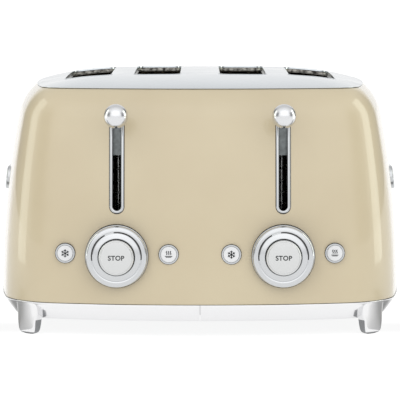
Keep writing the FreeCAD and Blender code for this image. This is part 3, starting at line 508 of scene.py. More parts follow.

# %% [markdown]
# ## Metals and rubber
#
# The top cover is stainless steel, polished until the grain has nearly gone:
# it still blurs reflections slightly along the polishing lines.  Chrome plate
# on the small parts is brighter and sharper, and the feet are plated castings
# whose flanks are rougher and painted a darker grey as shade.  A metal's
# colour is the colour of its reflection, and each one carries faint smudges
# that change only the roughness.  Where oxide or wear has coloured a part, two
# near colours are mixed over small patches; on the bread slots' chutes the two
# colours are painted shade and painted highlights.

# %% Bright metals, chute steel with painted shade and highlights, black rubber
def smudged_metal(name, colour, roughness, smudge, size_mm, stretch=None):
    """Metal whose roughness wanders to smudge over patches; stretch adds fine polishing lines."""
    material, tree, shader = finish(name, colour, Metallic=1.0, Roughness=roughness)
    rough = ranged(tree, noise(tree, size_mm, 4), 0.35, 0.7, roughness, smudge)
    tree.links.new(rough, shader.inputs["Roughness"])
    if stretch:
        place = add(tree, "ShaderNodeTexCoord").outputs["Object"]
        stretched = add(tree, "ShaderNodeMapping", {"Scale": stretch}, {"Vector": place})
        lines = noise(tree, 0.9, 2, stretched.outputs[0])
        tree.links.new(bumped(tree, lines, 0.12, 0.02), shader.inputs["Normal"])
    return material


def speckled(name, colour, other, size_mm, **sockets):
    """Two near colours mixed over patches of a real size, with a small bump of the same pattern."""
    material, tree, shader = finish(name, colour, **sockets)
    patch = noise(tree, size_mm, 4)
    mixed = two_colours(tree, patch, 0.35, 0.65, colour, other)
    tree.links.new(mixed, shader.inputs["Base Color"])
    tree.links.new(bumped(tree, patch, 0.15, 0.05), shader.inputs["Normal"])
    return material


def grained(name, colour, size_mm, strength, depth_mm, roughness):
    """Moulded plastic or rubber with a fine even grain."""
    material, tree, shader = finish(name, colour, Roughness=roughness)
    grain = bumped(tree, noise(tree, size_mm), strength, depth_mm)
    tree.links.new(grain, shader.inputs["Normal"])
    return material


polished = smudged_metal("polished_stainless_steel", "#CDD2D6", 0.12, 0.20, 35, (0.03, 1, 1))
chrome = smudged_metal("bright_chrome_plate", "#BFC1C3", 0.04, 0.09, 12)
turned = smudged_metal("turned_chrome_dial", "#C9CBCD", 0.10, 0.16, 6)
ball_steel = smudged_metal("lapped_ball_steel", "#D9DADC", 0.16, 0.22, 8)
plated = smudged_metal("polished_plated_casting", "#E9E9EA", 0.12, 0.18, 20)
# The feet's flanks take a darker grey: painted shade, with a rougher finish.
flank_shade = smudged_metal("flank_painted_shade", "#8E8F91", 0.45, 0.55, 8)
# Nearly black chute steel with light patches: painted shade with painted highlights.
chute_shade_and_highlights = speckled("chute_steel_painted_shade_and_highlights", "#2A2826", "#9A9892", 3.2,
                       Metallic=1.0, Roughness=0.3)
# Black rubber for the soles and seals; the same black is also painted shade in the dials' grooves
# and in the gaps round the trims and collars.
black_rubber_and_shade = grained("black_rubber_and_painted_shade", "#2A2A2A", 0.6, 0.2, 0.03, 0.6)
print(len(bpy.data.materials), "materials so far")

# %% [markdown]
# ## Painted shell
#
# The shell is one tall ring of sheet steel, open below and above.  Its closed
# section runs up the outside, over the seam and down the inside, and is
# carried round the outline.  Holes for the levers, dials, buttons, crumb trays
# and cord are cut afterwards with plain solids, as a press tool would.

# %% Outer shell
SHEET, LIP, INNER_LIP = 1.2, 0.35, 0.3
heights = np.concatenate([np.linspace(WALL_FOOT, JOIN, 44), np.linspace(JOIN, SEAM - LIP, 16)[1:]])
outside = skin_section(heights, 0)
inside = skin_section(np.linspace(SEAM - INNER_LIP, WALL_FOOT + INNER_LIP, 40), SHEET)
lip = skin_section(np.array([SEAM, SEAM + 0.05]), 0) + [[LIP, 0], [2 * LIP, 0]]
shell_wall = wrapped(np.vstack([outside, lip, inside]))
shell = piece("painted_shell", grid(shell_wall, True, True), enamel)


def rod(x, z, radius, ends, steps=64):
    """Plain turned plug along Y, closed at both ends."""
    first, last = ends
    return spun([(0, first), (radius, first), (radius, last), (0, last)], x, z, steps, closed=False)


def stadium(steps, half, radius):
    """Round-ended outline: a half circle at +half, one at -half; points and directions."""
    a = np.linspace(0, np.pi, steps)
    top = np.column_stack([np.cos(a), np.sin(a)])
    out = np.vstack([top, -top])
    centre = np.vstack([np.tile([0, half], (steps, 1)), np.tile([0, -half], (steps, 1))])
    return centre + radius * out, out


def prism(flat, axis, ends):
    """Flat outline pushed along the missing axis, from one end to the other."""
    return tube(np.array([np.insert(flat, axis, end, axis=1) for end in ends]) * MM)


def brick(x, y, z):
    """Box given by its range along each axis."""
    points = np.array([[a, b, c] for a in x for b in y for c in z]) * MM
    return points, [[0, 1, 3, 2], [4, 6, 7, 5], [0, 4, 5, 1],
                    [2, 3, 7, 6], [0, 2, 6, 4], [1, 5, 7, 3]]


DIAL_Z, BUTTON_Z, PITCH = 68.0, 69.6, 42.8
SIDES, LEVERS = (("left", -1), ("right", 1)), (("left", -68.6), ("right", 68.6))
BEHIND_BALL = 2.6  # the trim ends this far short of its CAD node, so the ball hides its top
TRIM_END = 6.0  # from the trim's edge to the centre of its round end
TRIM_LOW, TRIM_HIGH = (corner[2] for corner in box_mm("lever_trim_right"))
TRIM_HIGH -= BEHIND_BALL
trim_middle, trim_straight = (TRIM_LOW + TRIM_HIGH) / 2, (TRIM_HIGH - TRIM_LOW) / 2 - TRIM_END
LEVER_HOLE, DIAL_HOLE, BUTTON_HOLE, INLET_HOLE, TRAY_GAP = 4.6, 25.2, 7.7, 6.6, 0.4
THROUGH_FRONT, THROUGH_SLOT = (-200, -150), (-200, -140)
THROUGH_BACK, TRAY_WAY = (150, 230), (120, 230)
holes = []
for name, x in LEVERS:
    slot, _ = stadium(20, trim_straight, LEVER_HOLE)
    holes.append(prism(slot + [x, trim_middle], 1, THROUGH_SLOT))
    holes.append(rod(x, DIAL_Z, DIAL_HOLE, THROUGH_FRONT))
    holes += [rod(x + way * PITCH, BUTTON_Z, BUTTON_HOLE, THROUGH_FRONT) for way in (-1, 1)]
    low, high = box_mm(f"crumb_tray_{name}") + np.array([[-TRAY_GAP], [TRAY_GAP]])
    holes.append(brick((low[0], high[0]), TRAY_WAY, (low[2], high[2])))
INLET_Z = sum(corner[2] for corner in box_mm("cord_inlet")) / 2
holes.append(rod(0, INLET_Z, INLET_HOLE, THROUGH_BACK, 40))
cut_away(shell, *holes)
stands_for(shell, "housing", "cream_enamel", "outer_shell")

# %% [markdown]
# ## Top cover
#
# The bright cover is a shallow dome.  Its outline is the seam's outline,
# shrunk towards the middle, and its height falls slowly at first and quickly
# near the edge, like a cushion.  A sculpted patch would do, but one power law
# has the right flatness.  A black bead seals it to the shell.  Four bread
# slots are cut through it, each with a rolled lip, because a raw edge of steel
# would be sharp, and a short chute below, whose nearly black steel with light
# patches is painted shade and painted highlights.

# %% Dome
CROWN, RISE_FROM, POWER = box_mm("top_cover")[1][2], SEAM + 0.85, 3.8
middle = np.array([0, MIDDLE_Y])
seam_plan = PLAN - skin(SEAM)[0] * OUTWARD
edge = seam_plan - middle
seam_reach = np.linalg.norm(edge, axis=1)
seam_angle = np.arctan2(*edge.T[::-1])


def rise(share):
    """Height of the dome at a share of the way from its middle to the seam."""
    return RISE_FROM + (CROWN - RISE_FROM) * (1 - share ** POWER)


def dome(x, y):
    """Height of the dome over (x, y)."""
    order = np.argsort(seam_angle)
    angle = np.arctan2(y - MIDDLE_Y, x)
    reach = np.interp(angle, seam_angle[order], seam_reach[order], period=2 * np.pi)
    return rise(np.hypot(x, y - MIDDLE_Y) / reach)


CROWDING, RIM = 1.6, 0.15  # how rows crowd towards the seam, and the rim's small upright edge
share = (1 - np.linspace(1, 0, 46) ** CROWDING)[::-1]
up = np.broadcast_to(rise(share)[None, :, None], (len(edge), len(share), 1))
top = np.concatenate([middle + share[None, :, None] * edge[:, None], up], axis=-1)
under = top - [0, 0, SHEET]
shrink = 1 - SHEET / seam_reach[:, None, None]
under[..., :2] = middle + (under[..., :2] - middle) * shrink
rim = top[:, :1] - [0, 0, RIM]
cover_grid = np.concatenate([top[:, ::-1], rim, under], axis=1) * MM
cover = piece("top_cover_dome", grid(cover_grid, round_rows=True), polished)

BEAD = np.array([(0.4, -0.3), (0.4, 0.72), (1.6, 0.72), (1.6, -0.3)]) + [skin(SEAM)[0], SEAM]
bead = grid(wrapped(BEAD)[:, ::-1], True, True)
fitted("top_cover_seal", bead, black_rubber_and_shade, "housing", "rubber_pads", sharp=30)

# %% Bread slots
CHAMBERS = (-95.4, -36.4, 36.4, 95.4)
SLOT_FRONT, SLOT_BACK, SLOT_WIDE, SLOT_CORNER = -82.0, 72.0, 40.0, 9.0
SLOT_MIDDLE = (SLOT_FRONT + SLOT_BACK) / 2


def slot_loop(x, inwards, steps=10):
    """Rounded rectangle of the slot at x, moved inwards: corner arcs joined by straight runs."""
    radius = SLOT_CORNER - inwards
    half = np.array([SLOT_WIDE / 2, (SLOT_BACK - SLOT_FRONT) / 2]) - SLOT_CORNER
    a = np.linspace(0, np.pi / 2, steps) + np.arange(4)[:, None] * np.pi / 2
    centres = half * np.array([(1, 1), (-1, 1), (-1, -1), (1, -1)])
    corners = centres[:, None] + radius * np.stack([np.cos(a), np.sin(a)], axis=-1)
    following = np.roll(corners, -1, axis=0)
    share = np.linspace(0, 1, 9)[None, 1:-1, None]
    runs = corners[:, -1:] + share * (following[:, :1] - corners[:, -1:])
    return np.concatenate([corners, runs], axis=1).reshape(-1, 2) + [x, SLOT_MIDDLE]


def slot_rings(section):
    """The section (inwards, over the dome) carried round all four slots."""
    rings = []
    for x in CHAMBERS:
        loops = []
        for inwards, over in section:
            flat = slot_loop(x, inwards)
            loops.append(np.column_stack([flat, dome(flat[:, 0], flat[:, 1]) + over]))
        rings.append(grid(np.array(loops) * MM, True, True))
    return together(*rings)


THROUGH_COVER = (180, 240)
cut_away(cover, *(prism(slot_loop(x, 0), 2, THROUGH_COVER) for x in CHAMBERS))
stands_for(cover, "housing", "polished_steel", "top_cover")
LIP_SECTION = [(-1.0, -0.2), (-0.9, 0.1), (-0.6, 0.3), (-0.1, 0.36), (0.3, 0.2), (0.4, -0.2),
               (0.4, -1.1), (-0.1, -1.3), (-0.2, -1.0), (-0.4, -0.6), (-0.7, -0.4)]
CHUTE_SECTION = [(-0.2, -1.3), (0.0, -1.9), (0.2, -2.7), (0.6, -3.4), (1.3, -3.7),
                 (1.4, -4.0), (1.2, -3.9), (0.4, -3.6), (0.1, -2.6), (-0.2, -1.5)]
# The chutes take the steel of painted shade and painted highlights.
for name, section, metal in (("bread_slot_lips", LIP_SECTION, polished),
                             ("bread_slot_chutes", CHUTE_SECTION, chute_shade_and_highlights)):
    fitted(name, slot_rings(section), metal, "housing", "polished_steel", sharp=38)

# %% [markdown]
# ## Base skirt and feet
#
# The skirt is a bright pressing that tucks in under the shell in an S, in two
# halves that meet at the middle of the front and the back.  Each half is the
# S section carried along half of the outline.  A foot grows out of it at each
# corner: a rounded block bent round the corner, given by its reach and depth
# at each height, that stands on a rubber sole.  The casting is polished where
# it faces outwards; its flanks, its back and its underside are rougher and
# painted a darker grey, which is painted shade.

# %% Skirt and feet
SKIRT_TOP, SKIRT_LOW, HALF_GAP = box_mm("base_skirt_right")[1][2], 13.0, 0.15
s_curve = softened([(-0.7, SKIRT_TOP), (-0.7, 26.4), (1.5, 23.4), (7.7, 15.6), (10.4, SKIRT_LOW),
                    (12.4, SKIRT_LOW), (12.4, 15.2), (4.7, 23.4), (1.3, 26.6), (1.3, SKIRT_TOP)],
                   [0.3, 1.8, 5, 4, 1.0, 0.8, 1, 4, 1, 0.3], steps=6)
half_count = len(PLAN) // 2 + 1
half_plan, half_out = PLAN[:half_count].copy(), OUTWARD[:half_count]
half_plan[[0, -1], 0] = HALF_GAP
travelled = np.append(0, np.cumsum(np.linalg.norm(np.diff(half_plan, axis=0), axis=1)))
CORNER_MIDDLE, CORNER_LAST = BOW_STEPS + CORNER_STEPS // 2 - 2, BOW_STEPS + CORNER_STEPS - 2


def along_outline(distance, inset):
    """Points at a distance along the right half of the outline, moved in by inset."""
    plan, out = (np.stack([np.interp(distance, travelled, line[:, k]) for k in (0, 1)], axis=-1)
                 for line in (half_plan, half_out))
    out /= np.linalg.norm(out, axis=-1, keepdims=True)
    return plan - inset[..., None] * out


def round_corner(degrees):
    """Distance along the outline to a direction on the front corner, from straight ahead."""
    x, y = half_out[:CORNER_LAST + 1].T
    return float(np.interp(degrees, np.degrees(np.arctan2(x, -y)), travelled[:CORNER_LAST + 1]))


FOOT_FROM, FOOT_TO = round_corner(34.6), round_corner(53.9)
CORNER_CENTRE = half_plan[CORNER_MIDDLE] - CORNER * half_out[CORNER_MIDDLE] - [0, MIDDLE_Y]
CORNER_CENTRE = np.abs(CORNER_CENTRE)


def block_round_corner(rows, power, steps=64):
    """Closed block of rows (height, reach before FOOT_FROM and past FOOT_TO, outer, inner inset).

    Its plan in distance and inset is the superellipse |s|^n + |i|^n = 1, n = 2 / power.
    """
    heights, before, past, outer, inner = np.array(rows).T
    first, last = FOOT_FROM - before, FOOT_TO + past
    a = np.linspace(0, 2 * np.pi, steps, endpoint=False)[:, None]
    c, s = (np.sign(wave) * np.abs(wave) ** power for wave in (np.cos(a), np.sin(a)))
    flat = along_outline((first + last) / 2 + c * (last - first) / 2,
                         (outer + inner) / 2 - s * (inner - outer) / 2)
    level = np.broadcast_to(heights[None, :, None], flat.shape[:2] + (1,))
    points = np.concatenate([flat, level], axis=-1)
    ends = [np.broadcast_to(points[:, [k]].mean(axis=0, keepdims=True), (steps, 1, 3))
            for k in (0, -1)]
    return np.concatenate([ends[0], points, ends[1]], axis=1)


def front_and_back(block, flip):
    """The block and its mirror image at the back corner, flipped to a side."""
    mirror = block * [1, -1, 1] + [0, 2 * MIDDLE_Y, 0]
    return [grid(each * MM * flip, round_rows=True) for each in (block, mirror)]


foot = block_round_corner([
    (26.6, 1.0, 1.2, -0.62, 1.2), (26.2, 1.4, 1.2, -0.64, 2.4), (24.0, 2.0, 1.2, -0.5, 6.0),
    (20.0, 2.4, 1.2, -0.35, 9.4), (17.0, 2.3, 1.2, -0.25, 10.9), (15.6, 2.0, 1.2, -0.2, 11.3),
    (14.4, 1.6, 1.2, -0.16, 11.4), (13.2, 1.0, 1.1, -0.1, 11.4), (12.0, 0.6, 1.1, -0.05, 11.3),
    (10.6, 0.3, 1.0, 0.05, 11.2), (8.6, 0.1, 0.9, 0.2, 11.0), (6.4, -0.2, 0.7, 0.4, 10.6),
    (4.2, -0.5, 0.4, 0.65, 10.2), (2.8, -0.9, 0.0, 0.95, 9.7), (1.7, -1.5, -0.7, 1.4, 9.1),
    (1.0, -2.4, -1.7, 2.0, 8.4), (0.5, -3.6, -3.0, 2.8, 7.6), (0.3, -5.0, -4.4, 3.6, 6.8)], 0.34)
sole = block_round_corner([(1.4, -5.4, -5.4, 3.2, 7.4), (1.2, -5.0, -5.0, 3.0, 7.6),
                           (0.15, -5.0, -5.0, 3.0, 7.6), (0.0, -5.6, -5.6, 3.5, 7.1)], 0.4)
strip = wrapped(s_curve, half_plan, half_out)
TURNED_AWAY, UNDERSIDE = 0.45, 1.9


def shade_turned_away_faces(made):
    """Darker, rougher material on the feet's faces that look back or sideways, and under them: the
    darker grey is painted shade.
    """
    mesh = made.data
    mesh.materials.append(flank_shade)
    middles, ways = np.empty((2, len(mesh.polygons) * 3), np.float32)
    mesh.polygons.foreach_get("center", middles)
    mesh.polygons.foreach_get("normal", ways)
    middles, ways = middles.reshape(-1, 3) / MM, ways.reshape(-1, 3)
    corner = np.sign(middles[:, :2] - [0, MIDDLE_Y]) * CORNER_CENTRE + [0, MIDDLE_Y]
    out = middles[:, :2] - corner
    out /= np.linalg.norm(out, axis=1, keepdims=True)
    away = (out * ways[:, :2]).sum(axis=1) < TURNED_AWAY
    dull_and_shaded = away & (middles[:, 2] < SKIRT_LOW - 1) | (middles[:, 2] < UNDERSIDE)
    mesh.polygons.foreach_set("material_index", dull_and_shaded.astype(np.int32))
    mesh.update()


soles = []
for name, side in SIDES:
    flip = np.array([side, 1, 1])
    surface = together(tube(strip * flip), *front_and_back(foot, flip))
    skirt = piece(f"skirt_and_feet_{name}", surface, plated, 50)
    # The feet's flanks, back and underside get the darker grey that is painted shade.
    shade_turned_away_faces(skirt)
    soles += front_and_back(sole, flip)
    stands_for(skirt, "housing", "chrome_plate", f"base_skirt_{name}")
fitted("rubber_soles", together(*soles), black_rubber_and_shade, "housing", "rubber_pads", "foot_pads",
       sharp=40)

# %% [markdown]
# ## Lever trims and side bars
#
# Each lever runs in a slot with a bright frame.  The frame is a small rounded
# section carried round a stadium, a rectangle with round ends, and bent onto
# the leaning front, and a thin black ring all round it is painted shade in the
# gap between frame and enamel.  The side bars are the same idea turned on
# their side: plain and bright, without any mark.

# %% Trims
TRIM_SECTION = softened([(1.3, -0.5), (1.3, 0.4), (0.6, 0.9), (-0.6, 0.9), (-1.3, 0.2),
                         (-1.3, -2.2), (-0.7, -2.2), (-0.2, -0.5)], 0.4)
TRIM_GAP_SHADE_SECTION = np.array([(1.75, -0.3), (1.75, 0.12), (1.0, 0.12), (1.0, -0.3)])
TRIM_RADIUS, ROUND_END, RUN = 4.65, 26, 38


def trim(x, section):
    """Section (sideways, proud) carried round a stadium and laid on the front skin."""
    line, out = stadium(ROUND_END, trim_straight, TRIM_RADIUS)
    share = np.linspace(0, 1, RUN + 2)[1:-1, None]
    down, up = (line[a] + share * (line[b] - line[a])
                for a, b in ((ROUND_END - 1, ROUND_END), (-1, 0)))
    line = np.vstack([line[:ROUND_END], down, line[ROUND_END:], up])
    side_out = np.tile([1.0, 0.0], (RUN, 1))
    out = np.vstack([out[:ROUND_END], -side_out, out[ROUND_END:], side_out])
    flat = line[:, None] + section[None, :, :1] * out[:, None]
    points = on_skin(x + flat[..., 0], trim_middle + flat[..., 1], section[:, 1], BOW, HALF_DEPTH)
    return grid((points * [1, -1, 1] + [0, MIDDLE_Y, 0]) * MM, True, True)


for name, x in LEVERS:
    # A thin black ring round each trim is painted shade in the gap between trim and enamel.
    gap_shade, ring = (trim(x, section) for section in (TRIM_GAP_SHADE_SECTION, TRIM_SECTION))
    fitted(f"lever_trim_gap_shade_{name}", gap_shade, black_rubber_and_shade, "housing", "rubber_pads")
    fitted(f"lever_trim_ring_{name}", ring, chrome, "housing", "chrome_plate", f"lever_trim_{name}")

# %% Side bars
bar_low, bar_high = box_mm("side_badge_right")
BAR_Z, BAR_LONG, BAR_UP = (bar_low[2] + bar_high[2]) / 2, *(bar_high - bar_low)[1:] / 2
BAR_RINGS = np.array([(0.0, -0.6), (0.0, 1.2), (0.25, 1.9), (0.8, 2.35), (1.8, 2.55),
                      (BAR_UP - 0.01, 2.6)])


def side_bar(side):
    """Cushion over a stadium: rings (inwards, proud) on the side skin, with a face at each end."""
    line, out = stadium(24, BAR_LONG - BAR_UP, BAR_UP)
    flat = line[:, None] - BAR_RINGS[None, :, :1] * out[:, None]
    points = on_skin(flat[..., 1], BAR_Z + flat[..., 0], BAR_RINGS[:, 1], SIDE_BOW, HALF_WIDTH)
    points = points[..., [1, 0, 2]] + [0, MIDDLE_Y, 0]
    return tube(points.transpose(1, 0, 2) * MM * [side, 1, 1])


for name, side in SIDES:
    bar = side_bar(side)
    fitted(f"side_bar_{name}", bar, chrome, "housing", "chrome_plate", f"side_badge_{name}")

# %% [markdown]
# ## Levers, dials and buttons
#
# All of these are turned or moulded round, so each one is a profile spun
# about an axis that points at the viewer.  The dial's face is cut in steps: a
# raised rim, a groove with two black strips in it that are painted shade, and
# a cone that rises to the stop button.  A thin black ring behind each dial
# collar is a painted shadow gap, thin black seals lie under the button rings,
# the words and signs are printed, and a steel ball ends each lever.

# %% Satin metal, plastic and print
satin = smudged_metal("satin_turned_aluminium", "#D0D1D1", 0.30, 0.36, 9)
cap_plastic = grained("pale_moulded_abs", "#D9DADB", 0.35, 0.08, 0.02, 0.38)
print_ink, tree, shader = finish("pad_printed_ink", "#26282B")
tree.links.new(ranged(tree, noise(tree, 0.4), 0, 1, 0.45, 0.6), shader.inputs["Roughness"])
print("made", satin.name, cap_plastic.name, print_ink.name)


# %% Dials and collars
GROOVE_RADIUS, GROOVE_SHADE_WIDE, GROOVE_LIFT = 20.35, 1.5, 5.45


def groove_shade_crescent(x, y, first, last, steps=60):
    """Painted shade in the dial's groove: black from first to last degrees, swelling in the middle
    and fading out at its ends.
    """
    a = np.radians(np.linspace(first, last, steps))[:, None]
    half = GROOVE_SHADE_WIDE / 2 * np.sqrt(np.sin(np.linspace(0.02, np.pi - 0.02, steps)))[:, None]
    r = GROOVE_RADIUS + half * np.array([-1, 1, 1, -1])
    depth = np.broadcast_to(y - GROOVE_LIFT + np.array([-0.25, -0.25, 0.35, 0.35]), r.shape)
    return tube(np.stack([x + r * np.cos(a), depth, DIAL_Z + r * np.sin(a)], axis=-1) * MM)


def hoop(x, z, inner, outer, front, back, radius, steps):
    """Ring of rectangular section with softened corners."""
    corners = [(inner, front), (outer, front), (outer, back), (inner, back)]
    return spun(softened(corners, radius), x, z, steps)


y = DIAL_BACK = box_mm("dial_right")[1][1] - 16
DIAL_PROFILE = softened([(19, y + 16), (19, y), (25.5, y), (25.5, y - 3.4), (24.2, y - 5.2),
                         (21.2, y - 5.7), (20.3, y - 5.2), (19.6, y - 6.0), (16.2, y - 7.1),
                         (15.5, y - 7.2), (15, y - 6.6), (15, y + 2), (17, y + 2), (17, y + 16)],
                        [0.4, 0.4, 0.8, 1.4, 1.4, 0.8, 0.4, 0.6, 1.4, 0.4, 0.2, 0.4, 0.4, 0.4])
for name, x in LEVERS:
    dial = spun(DIAL_PROFILE, x, DIAL_Z, 128)
    fitted(f"turned_dial_{name}", dial, turned, f"dial_{name}", "chrome_plate", f"dial_{name}")
    # Two black strips in each dial's groove are painted shade.
    groove_shade = together(groove_shade_crescent(x, y, 188, 118), groove_shade_crescent(x, y, 96, -6))
    fitted(f"dial_groove_painted_shade_{name}", groove_shade, black_rubber_and_shade, f"dial_{name}", "rubber_pads",
           sharp=30)
    # A thin black ring just outside each collar is a painted shadow gap.
    gap_shade = hoop(x, DIAL_Z, 25.2, 26.15, y + 0.5, y + 12.6, 0.1, 128)
    fitted(f"dial_gap_shade_{name}", gap_shade, black_rubber_and_shade, "housing", "rubber_pads")
    collar = hoop(x, DIAL_Z, 22.5, 25.9, y + 0.4, y + 13.4, 0.35, 128)
    fitted(f"dial_collar_{name}", collar, chrome, "housing", "chrome_plate", f"dial_bezel_{name}")

# %% Stop buttons
STOP_FACE, STOP_END = (corner[1] for corner in box_mm("stop_button_right"))
y = STOP_FACE
STOP_PROFILE = softened([(0, y), (12.9, y), (13.2, y + 0.7), (13.9, y + 0.7), (14.5, y + 1.5),
                         (14.5, DIAL_BACK - 1), (3, DIAL_BACK - 1), (3, STOP_END), (0, STOP_END)],
                        [0.5, 0.3, 0.2, 0.2, 0.4, 0.5, 0.5, 0.5, 0.5], closed=False)
for name, x in LEVERS:
    cap = spun(STOP_PROFILE, x, DIAL_Z, 96, closed=False)
    fitted(f"stop_push_button_{name}", cap, satin, f"stop_{name}", "satin_silver",
           f"stop_button_{name}")


def lettering(name, words, height, x, y):
    """Plain word printed on a dial's button: text made a mesh, centred and turned upright."""
    curve = bpy.data.curves.new(name, "FONT")
    curve.body, curve.size = words, height * MM
    curve.extrude, curve.space_character, curve.offset = 0.04 * MM, 1.06, 0.16 * MM
    temporary = bpy.data.objects.new(name, curve)
    scene.collection.objects.link(temporary)
    evaluated = temporary.evaluated_get(bpy.context.evaluated_depsgraph_get())
    mesh = bpy.data.meshes.new_from_object(evaluated)
    bpy.data.objects.remove(temporary)
    flat = np.zeros(len(mesh.vertices) * 3, np.float32)
    mesh.vertices.foreach_get("co", flat)
    flat = flat.reshape(-1, 3)
    flat = flat - (flat.min(0) + flat.max(0)) / 2
    placed = np.column_stack([x * MM + flat[:, 0], y * MM - flat[:, 2], DIAL_Z * MM + flat[:, 1]])
    mesh.vertices.foreach_set("co", placed.astype(np.float32).ravel())
    mesh.update()
    mesh.materials.clear()
    mesh.materials.append(print_ink)
    made = bpy.data.objects.new(name, mesh)
    scene.collection.objects.link(made)
    return made


for name, x in LEVERS:
    word = lettering(f"stop_word_{name}", "STOP", 5.4, x, STOP_FACE - 0.02)
    stands_for(word, f"stop_{name}", "black_plastic")


# %% Small buttons with their signs
def bars(lines, x, y, thick=0.05):
    """Flat bars on a face: each (x1, z1, x2, z2, width) is a thin box about its middle line."""
    first, second, wide = lines[:, :2], lines[:, 2:4], lines[:, 4:]
    way = (second - first) / np.linalg.norm(second - first, axis=1, keepdims=True)
    across = np.column_stack([-way[:, 1], way[:, 0]]) * wide / 2
    flat = np.stack([first - across, second - across, second + across, first + across], axis=1)
    near, far = (np.insert(flat, 1, value, axis=2) for value in (y - thick, y + thick))
    points = np.concatenate([near, far], axis=1).reshape(-1, 3) + [x, 0, BUTTON_Z]
    box = np.array([[0, 1, 2, 3], [7, 6, 5, 4], [0, 4, 5, 1],
                    [1, 5, 6, 2], [2, 6, 7, 3], [3, 7, 4, 0]])
    faces = (box[None] + 8 * np.arange(len(lines))[:, None, None]).reshape(-1, 4).tolist()
    return points * MM, faces


def snow_lines(radius=3.4, wide=0.7):
    """Six arms at 60 degrees, each with a pair of short branches at 55 degrees to it."""
    a = np.radians(np.arange(6) * 60 + 30)
    arms = np.column_stack([0 * a, 0 * a, radius * np.cos(a), radius * np.sin(a), 0 * a + wide])
    start = 0.55 * radius * np.column_stack([np.cos(a), np.sin(a)])
    lines = [arms]
    for b in (a - np.radians(55), a + np.radians(55)):
        stop = start + 0.36 * radius * np.column_stack([np.cos(b), np.sin(b)])
        lines.append(np.column_stack([start, stop, 0 * a + wide * 0.9]))
    return np.vstack(lines)


def heat_lines():
    """Three short rising waves over a flat plate and a shorter one."""
    z = np.linspace(-0.2, 3.0, 9)
    lines = []
    for x in (-1.6, 0.0, 1.6):
        sway = x + 0.35 * np.sin(z * 2.4)
        lines.append(np.column_stack([sway[:-1], z[:-1] - 0.05, sway[1:], z[1:] + 0.05,
                                      np.full(8, 0.7)]))
    return np.vstack(lines + [[(-3.0, -1.4, 3.0, -1.4, 0.6), (-2.2, -2.2, 2.2, -2.2, 0.5)]])


SIGNS = {"defrost": snow_lines(), "reheat": heat_lines()}
rings, seals = [], []
for name, lever_x in LEVERS:
    for kind, way in (("defrost", -PITCH), ("reheat", PITCH)):
        x = lever_x + way
        y, end = (corner[1] for corner in box_mm(f"{kind}_button_{name}"))
        profile = softened([(0, y), (6.0, y), (6.6, y + 0.6), (6.6, y + 6.6), (2.2, y + 6.6),
                            (2.2, end), (0, end)], 0.4, closed=False)
        cap = spun(profile, x, BUTTON_Z, 64, closed=False)
        fitted(f"{kind}_push_button_{name}", cap, cap_plastic, f"{kind}_{name}", "button_plastic",
               f"{kind}_button_{name}")
        sign = bars(SIGNS[kind], x, y - 0.03)
        fitted(f"{kind}_sign_{name}", sign, print_ink, f"{kind}_{name}", "black_plastic", sharp=30)
        rings.append(hoop(x, BUTTON_Z, 6.72, 8.0, y + 0.5, y + 6.5, 0.25, 72))
        seals.append(hoop(x, BUTTON_Z, 7.8, 8.4, y + 1.4, y + 6.4, 0.1, 72))
fitted("push_button_rings", together(*rings), chrome, "housing", "chrome_plate", "button_rings")
fitted("push_button_seals", together(*seals), black_rubber_and_shade, "housing", "rubber_pads")

# %% Lever balls
for name, _ in LEVERS:
    low, high = box_mm(f"lever_knob_{name}")
    centre, radius = (low + high) / 2, (high[0] - low[0]) / 2
    a = np.linspace(-np.pi / 2, np.pi / 2 - 0.25, 40)
    ball = np.column_stack([radius * np.cos(a), centre[1] + radius * np.sin(a)])
    ball[0, 0] = 0
    end = ball[-1, 1]
    ball = np.vstack([ball, [(2.6, end - 0.1), (2.55, end - 4), (0, end - 4)]])
    knob = spun(ball, centre[0], centre[2], 72, closed=False)
    fitted(f"lever_ball_{name}", knob, ball_steel, f"lever_{name}", "chrome_plate",
           f"lever_knob_{name}")

# %% [markdown]
# ## Hidden works
#
# The chassis, heaters, racks and wires show through the slots and from below.
# Their shapes are right as they come, so they only get their real finishes:
# zinc-coated sheet with a dull cloudy bloom, drawn wire, flaky mica, a dark
# heating ribbon, black moulded plastic and green board.

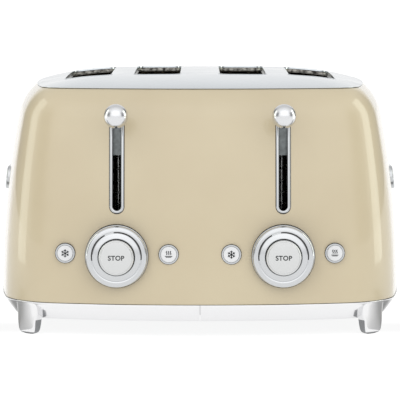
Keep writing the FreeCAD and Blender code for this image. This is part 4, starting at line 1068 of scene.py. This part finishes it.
# %% Finishes of the works
# name, two colours, patch size, metallic, roughness, coat, how the names of its nodes start
WORKS = [
    ("zinc_coated_sheet", "#A4A8A8", "#8C9090", 4, 1, 0.38, 0,
     "base_plate chassis_ heat_shields carriage_ armature_ tray_rails base_screws"),
    ("phosphated_sheet", "#7C8182", "#6C7071", 3, 1, 0.42, 0, "lever_arm_"),
    ("drawn_steel_wire", "#B8BABA", "#9C9E9E", 2, 1, 0.25, 0,
     "bread_racks_ return_spring_ guide_rods bread_guide_"),
    ("pressed_mica_sheet", "#8F7F66", "#6E604B", 6, 0, 0.45, 0, "heater_boards_"),
    ("oxidised_heating_ribbon", "#5A524C", "#38332F", 3, 1, 0.5, 0, "heater_wires_"),
    ("black_moulded_plastic", "#17181A", "#202224", 1.2, 0, 0.5, 0, "cord_inlet terminal_block"),
    ("green_circuit_board", "#1D5A38", "#174A2E", 1.5, 0, 0.35, 0.4, "control_board_"),
    ("varnished_copper_winding", "#9A4B22", "#7A3715", 0.6, 0.8, 0.35, 0, "electromagnet_"),
    ("brushed_crumb_tray_steel", "#C9CBCC", "#B5B8B9", 3, 1, 0.3, 0, "crumb_tray_"),
]
finished = set()
for title, colour, other, size_mm, metallic, roughness, coat, starts in WORKS:
    material = speckled(title, colour, other, size_mm, Metallic=metallic, Roughness=roughness,
                        Coat_Weight=coat)
    for name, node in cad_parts.items():
        if name.startswith(tuple(starts.split())):
            node.data.materials.clear()
            node.data.materials.append(material)
            finished.add(name)
plain = [name for name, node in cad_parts.items() if not node.hide_render]
print("nodes without a finish:", sorted(set(plain) - finished))

# %% [markdown]
# ## Return springs
#
# A coil spring on each guide rod pushes the carriage up, and on the real
# toaster it gets shorter when the lever goes down.  Here each coil is made at
# the size of its node and takes that node's place, at one fixed length.

# %% Coil springs
SPRING_TURNS, WIRE = 13, 0.7


def coil(low, high, steps=36, sides=10):
    """Wire round a helix at angle a: r = reach + wire cos b and z = climb + wire sin b."""
    middle, reach = (low + high) / 2, (high[0] - low[0]) / 2 - WIRE
    a = np.linspace(0, 2 * np.pi * SPRING_TURNS, SPRING_TURNS * steps + 1)[:, None]
    b = np.linspace(0, 2 * np.pi, sides, endpoint=False)[None]
    climb = low[2] + WIRE + (high[2] - low[2] - 2 * WIRE) * a / a[-1]
    r = reach + WIRE * np.cos(b)
    return tube(np.stack([middle[0] + r * np.cos(a), middle[1] + r * np.sin(a),
                          climb + WIRE * np.sin(b)], axis=-1) * MM)


wire = bpy.data.materials["drawn_steel_wire"]
for name, x in LEVERS:
    low, high = box_mm(f"return_spring_{name}")
    spring = piece(f"return_coil_{name}", coil(low, high), wire, 60)
    y = (low[1] + high[1]) / 2
    bottom, top = ((x * MM, y * MM, z * MM) for z in (low[2], high[2]))
    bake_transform(spring)
    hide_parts(f"return_spring_{name}")
